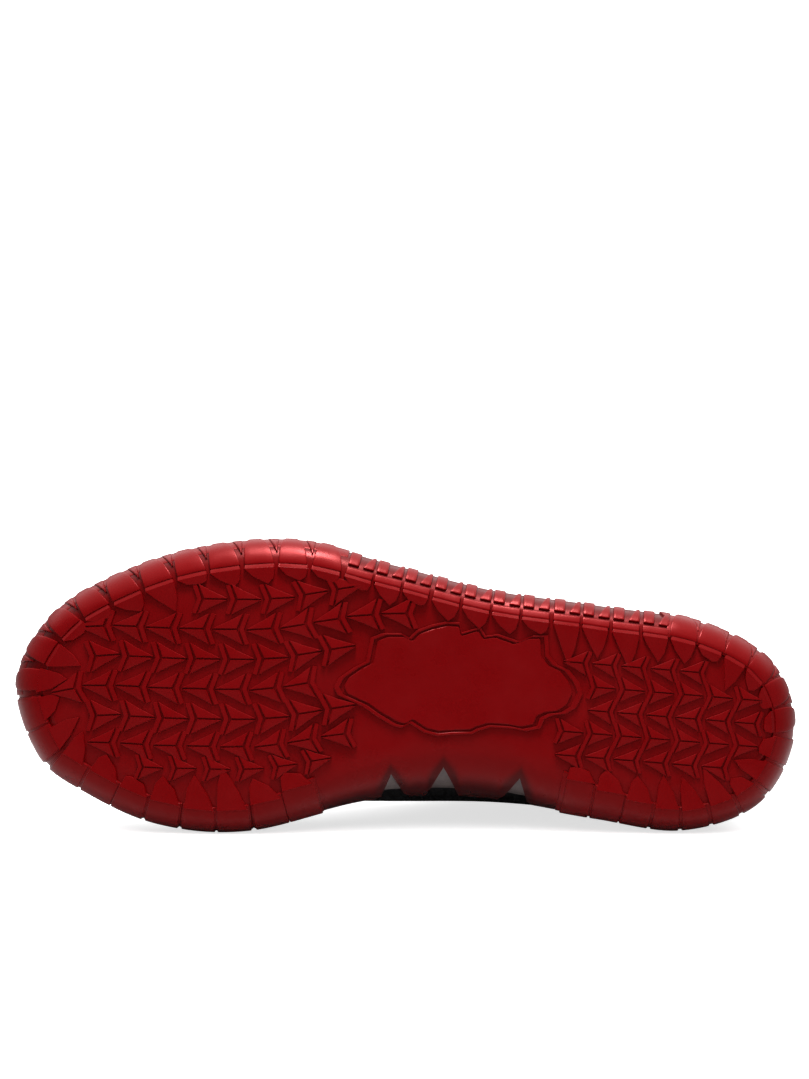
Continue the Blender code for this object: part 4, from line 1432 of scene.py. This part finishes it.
@dataclass
class Eyestay:
    """Hide overlay round the throat, stitched to the upper."""

    shop: Workshop
    ends: tuple[float, float] = (4.0, 6.42)
    foot: float = 0.8
    height: float = 2.0
    stitches: int = 34
    stitch_row: float = 0.14
    stitch_size: Vertex = (1.1, 0.32, 0.3)

    def foot_row(self, t: float) -> float:
        """Row of the lower edge, rounded up to the ridge at the front and a little at the back."""
        front = max(t - 6.0, 0) / (self.ends[1] - 6.0)
        return self.foot + (1 - self.foot) * front**3

    def point(self, side: Side, u: float, w: float, height: float) -> Vector:
        """Point over the overlay's face, a share along and up it."""
        form = self.shop.form
        t = self.ends[0] + (self.ends[1] - self.ends[0]) * u
        top = 0.985 + 0.015 * ease(t, 5.75, 6.0)
        foot = self.foot_row(t)
        return form.over_upper(t, side, foot + (top - foot) * w, height)

    def add_stitches(self, bm: BMesh) -> None:
        """Short stitches along the lower edge."""
        for side in Side:
            for i in range(self.stitches):
                u = 0.02 + 0.88 * i / (self.stitches - 1)
                ends = [self.point(side, u + d, self.stitch_row, self.height + 0.12) for d in (-0.004, 0.004)]
                up = self.shop.form.upper_normal(4 + 2.4 * u, side, 0.85)
                x = (ends[1] - ends[0]).normalized()
                turn = Matrix((x, up.cross(x).normalized(), up)).transposed().to_4x4()
                size = Matrix.Diagonal((*self.stitch_size, 1))
                place = Matrix.Translation((ends[0] + ends[1]) / 2) @ turn @ size
                made = bmesh.ops.create_icosphere(bm, subdivisions=1, radius=1.0)
                bmesh.ops.transform(bm, matrix=place, verts=made["verts"])
                for face in {f for v in made["verts"] for f in v.link_faces}:
                    face.material_index = 1

    def build(self, hide: Material, thread: Material) -> Object:
        """Makes the eyestay."""
        bm = self.shop.start()
        for side in Side:
            self.shop.sheet(bm, 60, 8, lambda u, w, s=side: self.point(s, u, w, self.height))
        self.shop.close(bm)
        bm.normal_update()
        if sum(f.normal.z for f in bm.faces) < 0:
            bmesh.ops.reverse_faces(bm, faces=bm.faces)
        self.shop.thicken(bm, self.height - 0.2, 0.45)
        self.add_stitches(bm)
        return self.shop.piece("eyestay_dressed", bm, [hide, thread], "eyestay", ["eyestay"])


@dataclass
class Eyelets:
    """Rolled metal rings in the eyestay."""

    shop: Workshop
    seat: float = 2.7
    profile: tuple[Spot, ...] = (
        (1.4, -1.6), (1.9, -1.6), (2.0, -0.4), (3.0, -0.35), (3.15, -0.05), (2.9, 0.35), (2.2, 0.62),
        (1.6, 0.5), (1.4, 0.1))

    def build(self, metal: Material) -> None:
        """Makes each ring by turning its profile."""
        form = self.shop.form
        for number, t in enumerate(form.eyelet_sections(), 1):
            for side in Side:
                bm = self.shop.start()
                verts = [bm.verts.new((radius, 0, z)) for radius, z in self.profile]
                edges = [bm.edges.new((a, b)) for a, b in zip(verts, verts[1:] + verts[:1])]
                bmesh.ops.spin(bm, geom=verts + edges, cent=(0, 0, 0), axis=UP, angle=2 * math.pi, steps=24,
                               use_merge=True)
                self.shop.close(bm)
                out = form.upper_normal(t, side, form.eyelet_row)
                turn = out.to_track_quat("Z", "Y").to_matrix().to_4x4()
                seat = Matrix.Translation(form.over_upper(t, side, form.eyelet_row, self.seat))
                bmesh.ops.transform(bm, matrix=seat @ turn, verts=bm.verts)
                node = f"eyelet_{side.name.lower()}_{number}"
                self.shop.piece(node + "_dressed", bm, [metal], "eyelet", [node])


@dataclass
class Tongue:
    """Padded tongue under the throat."""

    shop: Workshop
    front: float = 6.7
    thick: float = 5.0
    free: float = 24.0
    taper: float = 0.008

    def at(self, u: float, across: float, depth: float) -> Vector:
        """Point a share along the tongue, from under the vamp to the free end, at a depth under its face."""
        form = self.shop.form
        back = form.throat_back + 0.12
        along = min(u / 0.8, 1)
        t = self.front + (back - self.front) * along
        drop = 0.9 + 2.2 * ease(t, 5.2, 5.8)
        point = form.throat_point(t, across, -drop - depth, under=True)
        if u <= 0.8:
            return point
        reach = (u - 0.8) / 0.2
        centre = form.throat_point(back, 0, -0.9, under=True)
        ahead = (centre - form.throat_point(back + 0.5, 0, -0.9, under=True)).normalized()
        narrow = 1 - self.taper * self.free * reach - 0.1 * reach**4
        return centre + (point - centre) * narrow + ahead * self.free * reach

    def face(self, u: float, w: float, way: int) -> Vector:
        """Point of the top (way -1) or underside (way 1), which meet round the edge."""
        across = 2 * w - 1
        edge = min((1 - abs(across)) / 0.12, u / 0.04, (1 - u) / 0.05, 1)
        plump = math.sqrt(max(1 - (1 - edge) ** 2, 0))
        quilt = 0.35 * (1 - abs(math.sin(u * 22))) * (1 - across**2) * (1 if way < 0 else 0)
        return self.at(u, across, self.thick / 2 + way * plump * (self.thick / 2 - quilt * 0.6))

    def build(self, knit: Material, lining: Material) -> Object:
        """Makes the tongue."""
        bm = self.shop.start()
        self.shop.sheet(bm, 80, 32, lambda u, w: self.face(u, w, -1), 0, (14, 7))
        self.shop.sheet(bm, 80, 32, lambda u, w: self.face(u, w, 1), 1, (14, 7))
        self.shop.close(bm)
        obj = self.shop.piece("tongue_dressed", bm, [knit, lining], "tongue", ["tongue"], 70)
        return obj or obj


@dataclass
class Laces:
    """Flat lace crossing the tongue from eyelet to eyelet, ending at the top pair."""

    shop: Workshop
    width: float = 5.8
    thick: float = 1.6
    over: float = 4.4

    def run(self, bm: BMesh, start: float, end: float, lift: float) -> None:
        """One run from the inner eyelet at section start to the outer one at section end."""
        form = self.shop.form

        def centre(u: float) -> tuple[Vector, float]:
            """Middle of the lace and how far it has gone into an eyelet."""
            across = 2 * u - 1
            sunk = ease(abs(across), 0.86, 0.995)
            height = self.over + lift * (1 - ease(abs(across), 0.3, 0.8)) - (self.over - 1.6) * sunk
            return form.throat_point(start + (end - start) * u, across, height), sunk

        def place(u: float, w: float) -> Vector:
            """Point of the lace's skin."""
            here, sunk = centre(u)
            along = centre(min(u + 0.02, 1))[0] - centre(max(u - 0.02, 0))[0]
            seat = (start + (end - start) * u, 2 * u - 1)
            up = form.throat_point(*seat, self.over + 1) - form.throat_point(*seat, self.over)
            flat = up.normalized().cross(along).normalized()
            up = along.cross(flat).normalized()
            close = 0.0 if u in (0.0, 1.0) else 1.0
            angle = 2 * math.pi * w
            c, s = math.cos(angle), math.sin(angle)
            wide = (self.width / 2) * (1 - 0.62 * sunk) * close * math.copysign(abs(c) ** 0.55, c)
            deep = (self.thick / 2) * (1 + 0.2 * sunk) * close * math.copysign(abs(s) ** 0.8, s)
            return here + flat * wide + up * deep

        self.shop.sheet(bm, 44, 14, place, size=(9, 1.4))

    def build(self, braid: Material) -> Object:
        """Makes the laces."""
        bm = self.shop.start()
        sections = self.shop.form.eyelet_sections()
        self.run(bm, sections[0], sections[0], 0.0)
        for t0, t1 in zip(sections, sections[1:]):
            self.run(bm, t0, t1, 0.2)
            self.run(bm, t1, t0, 1.9)
        self.shop.close(bm, 0.001)
        return self.shop.piece("laces_dressed", bm, [braid], "laces", ["laces"], 50)


@dataclass
class Studio:
    """Pale floor, soft light and the camera at the photograph's angle."""

    centre: Vector = field(default_factory=lambda: Vector((0.0, -0.066, 0.0555)))
    frame_width: float = 0.3067
    distance: float = 1.5
    elevation: float = math.radians(6)
    rise: float = 0.0571

    def floor(self) -> None:
        """Pale floor, as a stage."""
        bm = bmesh.new()
        bmesh.ops.create_grid(bm, x_segments=2, y_segments=2, size=30)
        mesh = bpy.data.meshes.new("floor")
        bm.to_mesh(mesh)
        bm.free()
        mesh.materials.append(FloorFinish().build())
        obj = bpy.data.objects.new("floor", mesh)
        bpy.context.scene.collection.objects.link(obj)

    def light(self, name: str, kind: str, energy: float, place: Vector, aim: Vector, **sizes: float) -> None:
        """A lamp at a place, turned to an aim."""
        lamp = bpy.data.lights.new(name, kind)
        lamp.energy = energy
        for key, value in sizes.items():
            setattr(lamp, key, value)
        obj = bpy.data.objects.new(name, lamp)
        obj.location = place
        obj.rotation_euler = (aim - place).to_track_quat("-Z", "Y").to_euler()
        bpy.context.scene.collection.objects.link(obj)

    def lights(self) -> None:
        """Soft light from above, and a white surround."""
        world = bpy.data.worlds.new("studio")
        world.use_nodes = True
        tree = world.node_tree
        background = tree.nodes["Background"]
        background.inputs["Color"].default_value = (1, 1, 1, 1)
        background.inputs["Strength"].default_value = 0.42
        seen = tree.nodes.new("ShaderNodeBackground")
        seen.inputs["Color"].default_value = (1, 1, 1, 1)
        seen.inputs["Strength"].default_value = 1.1
        path = tree.nodes.new("ShaderNodeLightPath")
        either = tree.nodes.new("ShaderNodeMixShader")
        tree.links.new(path.outputs["Is Camera Ray"], either.inputs[0])
        tree.links.new(background.outputs[0], either.inputs[1])
        tree.links.new(seen.outputs[0], either.inputs[2])
        tree.links.new(either.outputs[0], tree.nodes["World Output"].inputs["Surface"])
        bpy.context.scene.world = world
        above = Vector((0, 0, 2))
        self.light("overhead", "SUN", 3.6, above, Vector((0, -0.1, 0)), angle=math.radians(120))
        self.light("softbox", "AREA", 14.5, Vector((0.02, -0.2, 0.8)), Vector((0, -0.06, 0.06)), size=0.24)

    def camera(self) -> None:
        """Long lens, level with the horizon, aimed above the shoe."""
        data = bpy.data.cameras.new("camera")
        data.sensor_fit = "HORIZONTAL"
        data.sensor_width = 36
        data.lens = 36 * self.distance / self.frame_width
        obj = bpy.data.objects.new("camera", data)
        back = Vector((0, -math.cos(self.elevation), math.sin(self.elevation)))
        obj.location = self.centre + back * self.distance
        aim = self.centre + Vector((0, 0, self.rise)) - obj.location
        obj.rotation_euler = aim.to_track_quat("-Z", "Y").to_euler()
        bpy.context.scene.collection.objects.link(obj)
        bpy.context.scene.camera = obj
        bpy.context.scene.view_settings.view_transform = "Standard"

    def build(self) -> None:
        """Sets the stage."""
        self.camera()
        self.floor()
        self.lights()


def main() -> None:
    """Builds the scene."""
    logging.basicConfig(level=logging.INFO, format="%(name)s %(message)s")
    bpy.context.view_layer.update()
    Studio().build()
    shop = Workshop(ShoeForm(), Pose())
    rubber, knit, hide = RubberFinish().build(), KnitFinish().build(), HideFinish().build()
    lining = KnitFinish("lining", yarn=(0.13, 0.0016, 0.003), gap=(0.04, 0.0005, 0.001), across=3.0,
                        along=4.0, height=0.0003, sheen=0.05).build()
    braid = BraidFinish().build()
    Outsole(shop).build(rubber)
    Midsole(shop).build(FoamFinish().build())
    Insole(shop).build(lining)
    Upper(shop).build(knit, lining)
    Eyestay(shop).build(hide, braid)
    Eyelets(shop).build(EyeletFinish().build())
    Tongue(shop).build(knit, lining)
    Laces(shop).build(braid)


if __name__ == "__main__":
    main()
